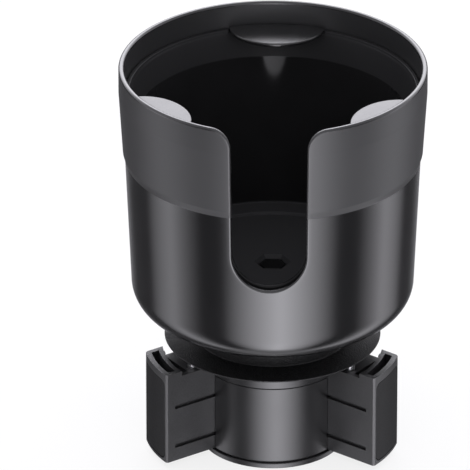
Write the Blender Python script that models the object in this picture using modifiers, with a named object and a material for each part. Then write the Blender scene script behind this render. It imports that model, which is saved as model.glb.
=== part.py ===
"""Cup holder expander: a wide cup on a turning neck, over a hub with three sliding feet.

Metres, +Z up. The origin is the centre of the hub's underside, and the cup's slot faces -Y.
The cup, the neck and the scroll plate turn together on the hub. Each foot carries a pin that
rides in its own spiral slot of the scroll plate, so half a turn draws the three feet in.
"""

from math import asin, atan2, cos, degrees, pi, radians, sin, sqrt

import bmesh
import bpy
from mathutils import Matrix, Vector

MM = 0.001

# Clearances
GAP = 0.3 * MM
PIN_PLAY = 0.25 * MM

# How far a cutter reaches past the face that it opens
OVERCUT = 1.0 * MM

# Points closer than this are one point
WELD = 0.02 * MM

# Cup shell
RIM_RADIUS = 54.0 * MM
CUP_HEIGHT = 92.9 * MM
SHELL_WALL = 2.0 * MM
COLLAR_STRAIGHT = 9.3 * MM
COLLAR_LENGTH = 32.0 * MM
COLLAR_TAPER = 1.4 * MM
COLLAR_STEP = 0.75 * MM
COLLAR_CHAMFER_HEIGHT = 2.6 * MM
BODY_TAPER = 2.05 * MM
SHELL_FILLET = 11.0 * MM

# Front slot
SLOT_WIDTH = 27.2 * MM
SLOT_FOOT_WIDTH = 25.7 * MM
SLOT_DEPTH = 62.5 * MM
SLOT_CORNER_RADIUS = 8.0 * MM
SLOT_EDGE_BEVEL = 0.45 * MM

# Inner liner
LINER_WALL = 1.6 * MM
LINER_TOP_DROP = 9.0 * MM
LINER_LIP_THICKNESS = 2.3 * MM
LINER_LIP_WIDTH = 1.5 * MM
RING_HEIGHT = 9.8 * MM
RING_INSET = 7.0 * MM
LINER_TAPER = 2.6 * MM
FLOOR_RISE = 17.5 * MM
FLOOR_THICKNESS = 3.0 * MM
FLOOR_FILLET = 4.0 * MM
MAT_SEAT_INSET = 8.0 * MM
MAT_SEAT_DEPTH = 1.0 * MM
BOLT_BOSS_RADIUS = 8.5 * MM
HEX_RECESS_FLATS = 9.0 * MM
HEX_RECESS_DEPTH = 5.0 * MM

# Flex tabs
TAB_HALF_WIDTH = 16.8 * MM
TAB_REACH = 19.3 * MM
TAB_THICKNESS = 1.5 * MM
TAB_SEAT_DEPTH = 0.9 * MM
TAB_EDGE_BEVEL = 0.5 * MM
TAB_ANGLES = {"rear": 90.0, "left": 210.0, "right": 330.0}

# Neck and disc
NECK_RADIUS = 27.3 * MM
NECK_LENGTH = 11.0 * MM
NECK_WALL = 2.4 * MM
NECK_BOSS_RADIUS = 7.0 * MM
DISC_RADIUS = 38.2 * MM
DISC_THICKNESS = 1.6 * MM

# Scroll plate and its screws
PLATE_RADIUS = 36.0 * MM
PLATE_THICKNESS = 2.2 * MM
PLATE_CHAMFER = 0.4 * MM
TRACK_OVERRUN = 2.0
SCREW_CIRCLE = 15.0 * MM
SCREW_RADIUS = 1.4 * MM
SCREW_HEAD_RADIUS = 2.6 * MM
SCREW_LENGTH = 8.5 * MM
SCREW_RIM = 0.25 * MM
SCREW_TIP_CHAMFER = 0.4 * MM
SCREW_BOSS_RADIUS = 3.4 * MM
SCREW_BOSS_CAP = 1.2 * MM
CROSS_WIDTH = 0.9 * MM
CROSS_LENGTH = 3.1 * MM
CROSS_DEPTH = 1.1 * MM
SCREW_ANGLES = {"1": 30.0, "2": 150.0, "3": 270.0}

# Clamp bolt, nut and washer
BOLT_RADIUS = 2.5 * MM
BOLT_HEAD_FLATS = 8.0 * MM
BOLT_HEAD_HEIGHT = 3.5 * MM
BOLT_END_HEIGHT = 0.5 * MM
BOLT_EDGE_BEVEL = 0.35 * MM
NUT_HEIGHT = 4.0 * MM
NUT_BASE_HEIGHT = 0.8 * MM
WASHER_THICKNESS = 0.8 * MM
WASHER_RADIUS = 4.7 * MM

# Hub
FLANGE_REACH = 0.6 * MM
FLANGE_THICKNESS = 2.1 * MM
FLANGE_CHAMFER = 0.5 * MM
HUB_RADIUS = 24.8 * MM
HUB_WALL = 3.0 * MM
HUB_GROOVE_HEIGHT = 0.5 * MM
HUB_GROOVE_DEPTH = 0.4 * MM
HUB_SHOULDER_HEIGHT = 31.2 * MM
HUB_SHOULDER_RISE = 3.0 * MM
HUB_SHOULDER_INSET = 1.4 * MM
HUB_BOSS_RADIUS = 6.6 * MM
NUT_POCKET_RADIUS = 5.0 * MM
CHEEK_THICKNESS = 1.6 * MM
GUIDE_RIB_HEIGHT = 0.6 * MM
GUIDE_RIB_REACH = 0.5 * MM
GUIDE_RIB_SETBACK = 1.0 * MM

# Feet: measured along the foot from the hub's axis, with the foot slid out
FOOT_TRAVEL = 11.0 * MM
FOOT_RADIUS = 45.4 * MM
FOOT_CORNER = 0.6 * MM
FOOT_HEIGHT = 34.8 * MM
FOOT_INNER_END = 16.0 * MM
FOOT_STEM_WIDTH = 16.5 * MM
FOOT_HEAD_WIDTH = 19.6 * MM
FOOT_PANEL = 1.8 * MM
FOOT_OUTER_WALL = 1.9 * MM
FOOT_SLOT = 2.9 * MM
FOOT_INNER_WALL = 1.6 * MM
FOOT_FLOOR = 3.0 * MM
FOOT_EDGE_BEVEL = 0.35 * MM
WEB_START = 28.9 * MM
WEB_END = 35.2 * MM
STEM_DROP = 1.8 * MM
GROOVE_HEIGHT = 1.2 * MM
GROOVE_DEPTH = 0.9 * MM
GROOVE_MARGIN = 3.6 * MM
GROOVE_LEVELS = (5.8 * MM, 21.2 * MM)
PIN_RADIUS = 1.6 * MM
PIN_DISTANCE = 32.0 * MM
PIN_LENGTH = 10.4 * MM
PIN_SIDE = 3.6 * MM
PIN_CHAMFER = 0.3 * MM
FRONT_FOOT_ANGLE = 53.6

# Pads
PAD_SIDE_MARGIN = 1.5 * MM
PAD_TOP_MARGIN = 3.0 * MM
PAD_BOTTOM_MARGIN = 1.2 * MM
PAD_CORNER_RADIUS = 2.4 * MM
PAD_RECESS_DEPTH = 0.9 * MM
PAD_EDGE_BEVEL = 0.2 * MM

# Facets round a full turn
CUP_STEPS = 64
LINER_STEPS = 48
HUB_STEPS = 48
SMALL_STEPS = 16

# Facets along an arc
SLOT_STEPS = 18
TAB_STEPS = 20
TRACK_STEPS = 18
CORNER_STEPS = 6
FACE_STEPS = 8
EDGE_STEPS = 4

# Heights and radii that follow from the sizes above
BOLT_HOLE_RADIUS = BOLT_RADIUS + GAP
FOOT_BASE = FLANGE_THICKNESS + GAP
FOOT_TOP = FOOT_BASE + FOOT_HEIGHT
HUB_TOP = FOOT_TOP
PLATE_BASE = HUB_TOP + GAP
PLATE_TOP = PLATE_BASE + PLATE_THICKNESS
DISC_BASE = PLATE_TOP + GAP
DISC_TOP = DISC_BASE + DISC_THICKNESS
NECK_TOP = DISC_TOP + NECK_LENGTH
SHELL_BASE_HEIGHT = NECK_TOP + GAP
SHELL_FLOOR_HEIGHT = SHELL_BASE_HEIGHT + SHELL_WALL
FILLET_CENTRE_HEIGHT = SHELL_BASE_HEIGHT + SHELL_FILLET
RIM_HEIGHT = SHELL_BASE_HEIGHT + CUP_HEIGHT
SLOT_BOTTOM_HEIGHT = RIM_HEIGHT - SLOT_DEPTH
COLLAR_STRAIGHT_FOOT = RIM_HEIGHT - COLLAR_STRAIGHT
COLLAR_FOOT = RIM_HEIGHT - COLLAR_LENGTH
BODY_TOP = COLLAR_FOOT - COLLAR_CHAMFER_HEIGHT
COLLAR_FOOT_RADIUS = RIM_RADIUS - COLLAR_TAPER
BODY_TOP_RADIUS = COLLAR_FOOT_RADIUS - COLLAR_STEP
BODY_FOOT_RADIUS = BODY_TOP_RADIUS - BODY_TAPER
RING_FOOT_RADIUS = RIM_RADIUS - RING_INSET
LINER_FOOT_RADIUS = RING_FOOT_RADIUS - LINER_TAPER
MAT_SEAT_RADIUS = LINER_FOOT_RADIUS - MAT_SEAT_INSET
TAB_TIP_RADIUS = RIM_RADIUS - TAB_REACH
LINER_TOP = RIM_HEIGHT - LINER_TOP_DROP
TAB_BASE = LINER_TOP - TAB_SEAT_DEPTH + GAP
RING_FOOT = LINER_TOP - RING_HEIGHT
FLOOR_HEIGHT = SHELL_BASE_HEIGHT + FLOOR_RISE
MAT_SEAT_HEIGHT = FLOOR_HEIGHT - MAT_SEAT_DEPTH
HEX_SEAT_HEIGHT = MAT_SEAT_HEIGHT - HEX_RECESS_DEPTH
FLANGE_RADIUS = HUB_RADIUS + FLANGE_REACH
NUT_TOP = NUT_BASE_HEIGHT + NUT_HEIGHT
WASHER_BASE = NUT_TOP + GAP
NUT_POCKET_TOP = WASHER_BASE + WASHER_THICKNESS + GAP

# Each foot: its direction, and the side of its centre line that its block lies on
# (-1 towards its own right, +1 towards its left, 0 centred on the line)
FEET = {
    "rear": (90.0, 0),
    "left": (270.0 - FRONT_FOOT_ANGLE, -1),
    "right": (270.0 + FRONT_FOOT_ANGLE, 1),
}

PARTS = "cup_holder_expander"
CUTTERS = "cutters"


def clear_scene():
    """Remove every object that the scene holds."""
    for thing in list(bpy.data.objects):
        bpy.data.objects.remove(thing, do_unlink=True)


def collection(name):
    """Return the named collection, linked to the scene."""
    group = bpy.data.collections.get(name)
    if group is None:
        group = bpy.data.collections.new(name)
        bpy.context.scene.collection.children.link(group)
    return group


def finish(name, colour, roughness, metallic=0.0):
    """Return the named Principled material."""
    material = bpy.data.materials.get(name)
    if material is None:
        material = bpy.data.materials.new(name)
        material.use_nodes = True
        shader = material.node_tree.nodes["Principled BSDF"]
        shader.inputs["Base Color"].default_value = (*colour, 1.0)
        shader.inputs["Roughness"].default_value = roughness
        shader.inputs["Metallic"].default_value = metallic
    return material


def satin_plastic():
    return finish("satin_black_plastic", (0.035, 0.035, 0.037), 0.38)


def inner_plastic():
    return finish("inner_black_plastic", (0.012, 0.012, 0.013), 0.3)


def moulded_plastic():
    return finish("moulded_grey_plastic", (0.05, 0.05, 0.053), 0.55)


def grained_plastic():
    return finish("grained_black_plastic", (0.018, 0.018, 0.019), 0.6)


def tab_rubber():
    return finish("grey_tab_rubber", (0.12, 0.12, 0.125), 0.7)


def pad_rubber():
    return finish("black_pad_rubber", (0.02, 0.02, 0.021), 0.75)


def steel():
    return finish("zinc_plated_steel", (0.62, 0.62, 0.63), 0.3, 1.0)


def add_object(name, mesh, material=None, parent=None):
    """Put a mesh in the parts collection, or in the cutters' one when it has no material."""
    thing = bpy.data.objects.new(name, mesh)
    if material is None:
        collection(CUTTERS).objects.link(thing)
        thing.hide_render = True
        thing.display_type = "WIRE"
    else:
        collection(PARTS).objects.link(thing)
        mesh.materials.append(material)
    thing.parent = parent
    return thing


def axis_empty(name, angle=0.0):
    """Return an empty on the hub's axis, turned to face along an angle in degrees."""
    empty = bpy.data.objects.new(name, None)
    collection(PARTS).objects.link(empty)
    empty.rotation_euler.z = radians(angle)
    return empty


def arc(centre, radius, start, end, count):
    """Points of an arc about a centre, from one angle to another in degrees."""
    steps = [radians(start + (end - start) * i / count) for i in range(count + 1)]
    return [(centre[0] + radius * cos(a), centre[1] + radius * sin(a)) for a in steps]


def turned(name, profile, steps, material=None, parent=None, closed=True):
    """Turn a profile of (radius, height) points about Z with a Screw modifier."""
    mesh = bpy.data.meshes.new(name)
    edges = [(i, i + 1) for i in range(len(profile) - 1)]
    if closed:
        edges.append((len(profile) - 1, 0))
    mesh.from_pydata([(r, 0.0, z) for r, z in profile], edges, [])
    thing = add_object(name, mesh, material, parent)
    screw = thing.modifiers.new("turn", "SCREW")
    screw.axis = "Z"
    screw.steps = steps
    screw.render_steps = steps
    screw.use_merge_vertices = True
    screw.merge_threshold = WELD
    screw.use_smooth_shade = True
    return thing


def extruded(name, outline, low, high, material=None, parent=None, turn=None):
    """Extrude a flat outline of (x, y) points between two heights, and turn it if asked."""
    curve = bpy.data.curves.new(name, "CURVE")
    curve.dimensions = "2D"
    curve.fill_mode = "BOTH"
    curve.extrude = (high - low) / 2
    spline = curve.splines.new("POLY")
    spline.points.add(len(outline) - 1)
    for point, (x, y) in zip(spline.points, outline):
        point.co = (x, y, 0.0, 1.0)
    spline.use_cyclic_u = True
    drawn = bpy.data.objects.new(name + "_outline", curve)
    bpy.context.scene.collection.objects.link(drawn)
    mesh = bpy.data.meshes.new_from_object(drawn.evaluated_get(bpy.context.evaluated_depsgraph_get()))
    bpy.data.objects.remove(drawn)
    mesh.materials.clear()
    shape = bmesh.new()
    shape.from_mesh(mesh)
    bmesh.ops.remove_doubles(shape, verts=shape.verts, dist=WELD / 10)
    bmesh.ops.translate(shape, verts=shape.verts, vec=(0, 0, (low + high) / 2))
    bmesh.ops.recalc_face_normals(shape, faces=shape.faces)
    bmesh.ops.dissolve_limit(shape, angle_limit=radians(0.5), verts=shape.verts, edges=shape.edges)
    if turn is not None:
        bmesh.ops.transform(shape, matrix=turn, verts=shape.verts)
    shape.to_mesh(mesh)
    shape.free()
    mesh.name = name
    return add_object(name, mesh, material, parent)


def block(name, low, high, material=None, parent=None):
    """A box between two corners."""
    shape = bmesh.new()
    bmesh.ops.create_cube(shape, size=1.0)
    low, high = Vector(low), Vector(high)
    bmesh.ops.scale(shape, vec=high - low, verts=shape.verts)
    bmesh.ops.translate(shape, vec=(low + high) / 2, verts=shape.verts)
    mesh = bpy.data.meshes.new(name)
    shape.to_mesh(mesh)
    shape.free()
    return add_object(name, mesh, material, parent)


def drum(name, radius, low, high, at=(0.0, 0.0), sides=SMALL_STEPS, material=None, parent=None):
    """A cylinder or prism between two heights. A prism of six sides has corners on X."""
    shape = bmesh.new()
    stand = Matrix.Translation((at[0], at[1], (low + high) / 2)) @ Matrix.Rotation(pi / 2, 4, "Z")
    bmesh.ops.create_cone(shape, cap_ends=True, segments=sides, radius1=radius, radius2=radius,
                          depth=high - low, matrix=stand)
    mesh = bpy.data.meshes.new(name)
    shape.to_mesh(mesh)
    shape.free()
    return add_object(name, mesh, material, parent)


def combine(thing, other, operation):
    """Add a Boolean of the given kind with another object."""
    boolean = thing.modifiers.new(operation.lower() + "_" + other.name, "BOOLEAN")
    boolean.operation = operation
    boolean.solver = "EXACT"
    boolean.object = other
    return thing


def cut(thing, *others):
    for other in others:
        combine(thing, other, "DIFFERENCE")
    return thing


def join(thing, *others):
    for other in others:
        combine(thing, other, "UNION")
    return thing


def rounded(thing, width, segments=2, limit=40.0):
    """Round the sharp edges with a Bevel modifier."""
    bevel = thing.modifiers.new("round", "BEVEL")
    bevel.width = width
    bevel.segments = segments
    bevel.limit_method = "ANGLE"
    bevel.angle_limit = radians(limit)
    bevel.use_clamp_overlap = True
    bevel.harden_normals = False
    return thing


def corner_radius(flats):
    """Radius over the corners of a hexagon, from its width across flats."""
    return flats / 2 / cos(radians(30))


def shell_inner_radius(height):
    """Radius of the shell's inner wall at a height inside the collar."""
    top = RIM_RADIUS - SHELL_WALL
    foot = COLLAR_FOOT_RADIUS - SHELL_WALL
    share = (COLLAR_STRAIGHT_FOOT - height) / (COLLAR_STRAIGHT_FOOT - COLLAR_FOOT)
    return top - (top - foot) * min(max(share, 0.0), 1.0)


def slot_cutter(name):
    """The U-shaped cutter of the front slot, which narrows downwards from its flared corners."""
    half = SLOT_WIDTH / 2
    foot = SLOT_FOOT_WIDTH / 2
    flare = SLOT_CORNER_RADIUS
    above = RIM_HEIGHT + OVERCUT
    outline = arc((0.0, SLOT_BOTTOM_HEIGHT + foot), foot, 180, 360, SLOT_STEPS)
    outline += arc((half + flare, RIM_HEIGHT - flare), flare, 180, 90, CORNER_STEPS)
    outline += [(half + flare, above), (-half - flare, above)]
    outline += arc((-half - flare, RIM_HEIGHT - flare), flare, 90, 0, CORNER_STEPS)
    return extruded(name, outline, RIM_RADIUS / 2, RIM_RADIUS + OVERCUT,
                    turn=Matrix.Rotation(pi / 2, 4, "X"))


def build_cup_shell(parent):
    """The outer wall with its collar, rounded foot and base plate."""
    lip = SHELL_WALL / 2
    lip_centre = (RIM_RADIUS - lip, RIM_HEIGHT - lip)
    foot_centre = (BODY_FOOT_RADIUS - SHELL_FILLET, FILLET_CENTRE_HEIGHT)
    profile = arc(lip_centre, lip, 180, 0, EDGE_STEPS)
    profile += [
        (RIM_RADIUS, COLLAR_STRAIGHT_FOOT),
        (COLLAR_FOOT_RADIUS, COLLAR_FOOT),
        (BODY_TOP_RADIUS, BODY_TOP),
    ]
    profile += arc(foot_centre, SHELL_FILLET, 0, -90, CORNER_STEPS)
    profile += [(BOLT_HOLE_RADIUS, SHELL_BASE_HEIGHT), (BOLT_HOLE_RADIUS, SHELL_FLOOR_HEIGHT)]
    profile += arc(foot_centre, SHELL_FILLET - SHELL_WALL, -90, 0, CORNER_STEPS // 2)
    profile += [
        (BODY_TOP_RADIUS - SHELL_WALL, BODY_TOP),
        (COLLAR_FOOT_RADIUS - SHELL_WALL, COLLAR_FOOT),
        (RIM_RADIUS - SHELL_WALL, COLLAR_STRAIGHT_FOOT),
    ]
    shell = turned("cup_shell", profile, CUP_STEPS, satin_plastic(), parent)
    cut(shell, slot_cutter("shell_slot"))
    return rounded(shell, SLOT_EDGE_BEVEL, segments=1, limit=60.0)


def build_inner_liner(parent):
    """The inner wall with its top ring, raised floor, mat seat and bolt boss."""
    lip_radius = shell_inner_radius(LINER_TOP - LINER_LIP_THICKNESS) - GAP
    wall_foot = FLOOR_HEIGHT + FLOOR_FILLET
    floor_base = FLOOR_HEIGHT - FLOOR_THICKNESS
    ring_top_radius = lip_radius - LINER_LIP_WIDTH
    floor_centre = (LINER_FOOT_RADIUS - FLOOR_FILLET, wall_foot)
    profile = [
        (ring_top_radius, LINER_TOP),
        (lip_radius, LINER_TOP),
        (lip_radius, LINER_TOP - LINER_LIP_THICKNESS),
        (RING_FOOT_RADIUS + LINER_WALL, RING_FOOT - LINER_WALL),
        (LINER_FOOT_RADIUS + LINER_WALL, wall_foot),
    ]
    profile += arc(floor_centre, FLOOR_FILLET + LINER_WALL, 0, -60, 2)[1:]
    profile += [
        (floor_centre[0], floor_base),
        (BOLT_BOSS_RADIUS, floor_base),
        (BOLT_BOSS_RADIUS, SHELL_FLOOR_HEIGHT + GAP),
        (BOLT_HOLE_RADIUS, SHELL_FLOOR_HEIGHT + GAP),
        (BOLT_HOLE_RADIUS, MAT_SEAT_HEIGHT),
        (MAT_SEAT_RADIUS, MAT_SEAT_HEIGHT),
        (MAT_SEAT_RADIUS + MAT_SEAT_DEPTH / 2, FLOOR_HEIGHT),
    ]
    profile += arc(floor_centre, FLOOR_FILLET, -90, 0, CORNER_STEPS // 2)
    profile += [(RING_FOOT_RADIUS, RING_FOOT)]
    liner = turned("inner_liner", profile, LINER_STEPS, inner_plastic(), parent)
    hexagon = drum("hex_recess", corner_radius(HEX_RECESS_FLATS), HEX_SEAT_HEIGHT,
                   FLOOR_HEIGHT + OVERCUT, sides=6)
    cut(liner, slot_cutter("liner_slot"), hexagon)
    half = TAB_HALF_WIDTH + GAP
    for side, angle in TAB_ANGLES.items():
        seat = block("tab_seat_cut_" + side, (RIM_RADIUS / 2, -half, TAB_BASE - GAP),
                     (RIM_RADIUS, half, LINER_TOP + OVERCUT))
        seat.rotation_euler.z = radians(angle)
        cut(liner, seat)
    return liner


def build_flex_tab(side, angle, parent):
    """A half-moon tab that lies in its seat on the liner's lip."""
    seat = axis_empty("tab_seat_" + side, angle)
    seat.parent = parent
    root_radius = shell_inner_radius(RIM_HEIGHT) - GAP
    chord = sqrt(root_radius ** 2 - TAB_HALF_WIDTH ** 2)
    root_angle = degrees(asin(TAB_HALF_WIDTH / root_radius))
    outline = arc((0.0, 0.0), root_radius, -root_angle, root_angle, FACE_STEPS)
    reach = chord - TAB_TIP_RADIUS
    for i in range(1, TAB_STEPS):
        turn = pi / 2 + pi * i / TAB_STEPS
        outline.append((chord + reach * cos(turn), TAB_HALF_WIDTH * sin(turn)))
    tab = extruded("flex_tab_" + side, outline, TAB_BASE, TAB_BASE + TAB_THICKNESS, tab_rubber(),
                   seat)
    return rounded(tab, TAB_EDGE_BEVEL, segments=1, limit=50.0)


def build_neck_disc(parent):
    """The neck that carries the cup, its disc, and the bosses for the bolt and the screws."""
    edge = DISC_THICKNESS / 2
    inner = NECK_RADIUS - NECK_WALL
    profile = [(inner, NECK_TOP), (NECK_RADIUS, NECK_TOP), (NECK_RADIUS, DISC_TOP + edge)]
    profile += [(NECK_RADIUS + edge, DISC_TOP)]
    profile += arc((DISC_RADIUS - edge, DISC_TOP - edge), edge, 90, -90, EDGE_STEPS)
    profile += [
        (BOLT_HOLE_RADIUS, DISC_BASE),
        (BOLT_HOLE_RADIUS, NECK_TOP),
        (NECK_BOSS_RADIUS, NECK_TOP),
        (NECK_BOSS_RADIUS, DISC_TOP),
        (inner, DISC_TOP),
    ]
    neck = turned("neck_disc", profile, LINER_STEPS, grained_plastic(), parent)
    for key, angle in SCREW_ANGLES.items():
        at = screw_place(angle)
        boss_top = PLATE_BASE + SCREW_LENGTH + SCREW_BOSS_CAP
        join(neck, drum("screw_boss_" + key, SCREW_BOSS_RADIUS, DISC_TOP - edge, boss_top, at,
                        parent=parent))
    for key, angle in SCREW_ANGLES.items():
        cut(neck, screw_hole("neck_screw_hole_" + key, angle, parent))
    return neck


def screw_place(angle):
    """Where a plate screw stands on its circle."""
    return (SCREW_CIRCLE * cos(radians(angle)), SCREW_CIRCLE * sin(radians(angle)))


def screw_profile(clearance):
    """Half section of a countersunk screw that points up, grown by a clearance."""
    top = PLATE_BASE + SCREW_LENGTH + clearance
    head_base = PLATE_BASE + GAP
    rim = head_base + SCREW_RIM
    shank = SCREW_RADIUS + clearance
    head = SCREW_HEAD_RADIUS + clearance
    base = head_base - (clearance + GAP if clearance else 0.0)
    tip = [(shank, top)]
    if not clearance:
        tip = [(shank - SCREW_TIP_CHAMFER, top), (shank, top - SCREW_TIP_CHAMFER)]
    return [(0.0, top)] + tip + [
        (shank, rim + head - shank),
        (head, rim),
        (head, base),
        (0.0, base),
    ]


def screw_hole(name, angle, parent):
    """The countersunk hole that a plate screw stands in."""
    hole = turned(name, screw_profile(GAP), SMALL_STEPS, parent=parent, closed=False)
    hole.location = (*screw_place(angle), 0.0)
    return hole


def build_plate_screw(key, angle, parent):
    """A countersunk screw that holds the scroll plate up against the disc."""
    screw = turned("plate_screw_" + key, screw_profile(0.0), SMALL_STEPS, steel(), parent, False)
    screw.location = (*screw_place(angle), 0.0)
    low = PLATE_BASE - OVERCUT
    high = PLATE_BASE + GAP + CROSS_DEPTH
    long, short = CROSS_LENGTH / 2, CROSS_WIDTH / 2
    for name, half_x, half_y in (("a", long, short), ("b", short, long)):
        slot = block("screw_cross_" + name + key, (-half_x, -half_y, low), (half_x, half_y, high),
                     parent=parent)
        slot.location = screw.location
        cut(screw, slot)
    return screw


def foot_side(side):
    """Where a foot's pin stands beside the foot's centre line."""
    return side * PIN_SIDE


def pin_track(angle, side, turn):
    """Centre of a follower pin as the turning plate sees it, the cup being turned by an angle."""
    along = PIN_DISTANCE - FOOT_TRAVEL * turn / pi
    place = Matrix.Rotation(radians(angle) - turn, 2) @ Vector((along, foot_side(side)))
    return place


def spiral_slot(name, angle, side, parent):
    """Cutter of one spiral slot: the pin's track, widened by the pin and its play."""
    half = PIN_RADIUS + PIN_PLAY
    overrun = radians(TRACK_OVERRUN)
    step = (pi + 2 * overrun) / TRACK_STEPS
    track = [pin_track(angle, side, step * i - overrun) for i in range(TRACK_STEPS + 1)]
    left, right = [], []
    for i, point in enumerate(track):
        ahead = track[min(i + 1, TRACK_STEPS)] - track[max(i - 1, 0)]
        normal = Vector((-ahead.y, ahead.x)).normalized() * half
        left.append((point.x + normal.x, point.y + normal.y))
        right.append((point.x - normal.x, point.y - normal.y))
    outline = left + round_end(track[-1], left[-1], half) + right[::-1]
    outline += round_end(track[0], right[0], half)
    return extruded(name, outline, PLATE_BASE - OVERCUT, PLATE_TOP + OVERCUT, parent=parent)


def round_end(centre, start, radius):
    """Points of a half circle that closes a slot's end, without its two end points."""
    first = degrees(atan2(start[1] - centre.y, start[0] - centre.x))
    return arc((centre.x, centre.y), radius, first, first - 180, CORNER_STEPS)[1:-1]


def build_scroll_plate(parent):
    """The plate with a spiral slot for each foot's pin."""
    profile = [
        (BOLT_HOLE_RADIUS, PLATE_TOP),
        (PLATE_RADIUS - PLATE_CHAMFER, PLATE_TOP),
        (PLATE_RADIUS, PLATE_TOP - PLATE_CHAMFER),
        (PLATE_RADIUS, PLATE_BASE + PLATE_CHAMFER),
        (PLATE_RADIUS - PLATE_CHAMFER, PLATE_BASE),
        (BOLT_HOLE_RADIUS, PLATE_BASE),
    ]
    plate = turned("scroll_plate", profile, HUB_STEPS, moulded_plastic(), parent)
    for name, (angle, side) in FEET.items():
        cut(plate, spiral_slot("scroll_slot_" + name, angle, side, parent))
    for key, angle in SCREW_ANGLES.items():
        cut(plate, screw_hole("plate_screw_hole_" + key, angle, parent))
    return plate


def build_clamp_bolt(parent):
    """The hexagonal bolt from the cup's floor down to the nut."""
    head_base = HEX_SEAT_HEIGHT + GAP
    bolt = drum("clamp_bolt", corner_radius(BOLT_HEAD_FLATS), head_base,
                head_base + BOLT_HEAD_HEIGHT, sides=6, material=steel(), parent=parent)
    shank = drum("bolt_shank", BOLT_RADIUS, BOLT_END_HEIGHT, head_base + BOLT_HEAD_HEIGHT / 2,
                 parent=parent)
    join(bolt, shank)
    return rounded(bolt, BOLT_EDGE_BEVEL, segments=1, limit=50.0)


def build_lock_nut(parent):
    """The hexagonal nut in the hub's underside."""
    nut = drum("lock_nut", corner_radius(BOLT_HEAD_FLATS), NUT_BASE_HEIGHT, NUT_TOP, sides=6,
               material=steel(), parent=parent)
    cut(nut, drum("nut_bore", BOLT_HOLE_RADIUS, -OVERCUT, NUT_TOP + OVERCUT, parent=parent))
    return nut


def build_washer(parent):
    """The flat washer between the nut and the hub's boss."""
    top = WASHER_BASE + WASHER_THICKNESS
    profile = [(BOLT_HOLE_RADIUS, top), (WASHER_RADIUS, top), (WASHER_RADIUS, WASHER_BASE),
               (BOLT_HOLE_RADIUS, WASHER_BASE)]
    return turned("nut_washer", profile, SMALL_STEPS, steel(), parent)


def stem_span(side):
    """Lowest and highest place across the foot of its stem, beside its centre line."""
    centre = side * FOOT_STEM_WIDTH / 2
    return centre - FOOT_STEM_WIDTH / 2, centre + FOOT_STEM_WIDTH / 2


def head_span(side):
    """The same for the foot's wider head."""
    centre = side * FOOT_HEAD_WIDTH / 2
    return centre - FOOT_HEAD_WIDTH / 2, centre + FOOT_HEAD_WIDTH / 2


def on_arc(radius, across):
    """How far along the foot an arc about the hub's axis lies, at a place across it."""
    return sqrt(radius ** 2 - across ** 2)


def arc_between(radius, start, end, count):
    """Points of an arc about the hub's axis, between two places across the foot."""
    first, last = degrees(asin(start / radius)), degrees(asin(end / radius))
    return arc((0.0, 0.0), radius, first, last, count)


def build_hub(parent):
    """The hub: flange, wall with its shoulder, bolt boss, and cheeks that guide the feet."""
    wall_inner = HUB_RADIUS - HUB_WALL
    collar = HUB_RADIUS - HUB_SHOULDER_INSET
    groove = HUB_RADIUS - HUB_GROOVE_DEPTH
    chamfer = FLANGE_CHAMFER
    profile = [
        (collar, HUB_TOP),
        (collar, HUB_SHOULDER_HEIGHT + HUB_SHOULDER_RISE),
        (HUB_RADIUS, HUB_SHOULDER_HEIGHT),
        (HUB_RADIUS, FLANGE_THICKNESS + HUB_GROOVE_HEIGHT),
        (groove, FLANGE_THICKNESS + HUB_GROOVE_HEIGHT),
        (groove, FLANGE_THICKNESS),
        (FLANGE_RADIUS - chamfer, FLANGE_THICKNESS),
        (FLANGE_RADIUS, FLANGE_THICKNESS - chamfer),
        (FLANGE_RADIUS, chamfer),
        (FLANGE_RADIUS - chamfer, 0.0),
        (NUT_POCKET_RADIUS, 0.0),
        (NUT_POCKET_RADIUS, NUT_POCKET_TOP),
        (BOLT_HOLE_RADIUS, NUT_POCKET_TOP),
        (BOLT_HOLE_RADIUS, HUB_TOP),
        (HUB_BOSS_RADIUS, HUB_TOP),
        (HUB_BOSS_RADIUS, FLANGE_THICKNESS),
        (wall_inner, FLANGE_THICKNESS),
        (wall_inner, HUB_TOP),
    ]
    hub = turned("hub_housing", profile, HUB_STEPS, satin_plastic(), parent)
    for name, (angle, side) in FEET.items():
        frame = axis_empty("hub_channel_" + name, angle)
        frame.parent = parent
        low, high = stem_span(side)
        for edge, outward in ((low, -1), (high, 1)):
            face = edge + outward * GAP
            join(hub, guide_cheek(name, face, outward, side, frame))
        window = block("hub_window_" + name, (wall_inner / 2, low - GAP, FLANGE_THICKNESS),
                       (FLANGE_RADIUS + OVERCUT, high + GAP, HUB_TOP + OVERCUT), parent=frame)
        cut(hub, window)
        for edge, outward in ((low, -1), (high, 1)):
            face = edge + outward * GAP
            join(hub, *guide_ribs(name, face, outward, side, frame))
    return hub


def cheek_run(face, outward, side):
    """Where a cheek begins and ends along the foot."""
    far = face + outward * CHEEK_THICKNESS
    end = on_arc(HUB_RADIUS - HUB_WALL / 3, far)
    if side == 0:
        start = abs(far) - CHEEK_THICKNESS
    elif side * outward < 0:
        start = HUB_BOSS_RADIUS - CHEEK_THICKNESS / 2
    else:
        start = CHEEK_THICKNESS * 2
    return start, end


def guide_cheek(name, face, outward, side, frame):
    """One upright wall beside a foot's stem."""
    far = face + outward * CHEEK_THICKNESS
    start, end = cheek_run(face, outward, side)
    sign = "low" if outward < 0 else "high"
    return block("cheek_" + sign + "_" + name, (start, min(face, far), FLANGE_THICKNESS / 2),
                 (end, max(face, far), HUB_TOP), parent=frame)


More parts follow.
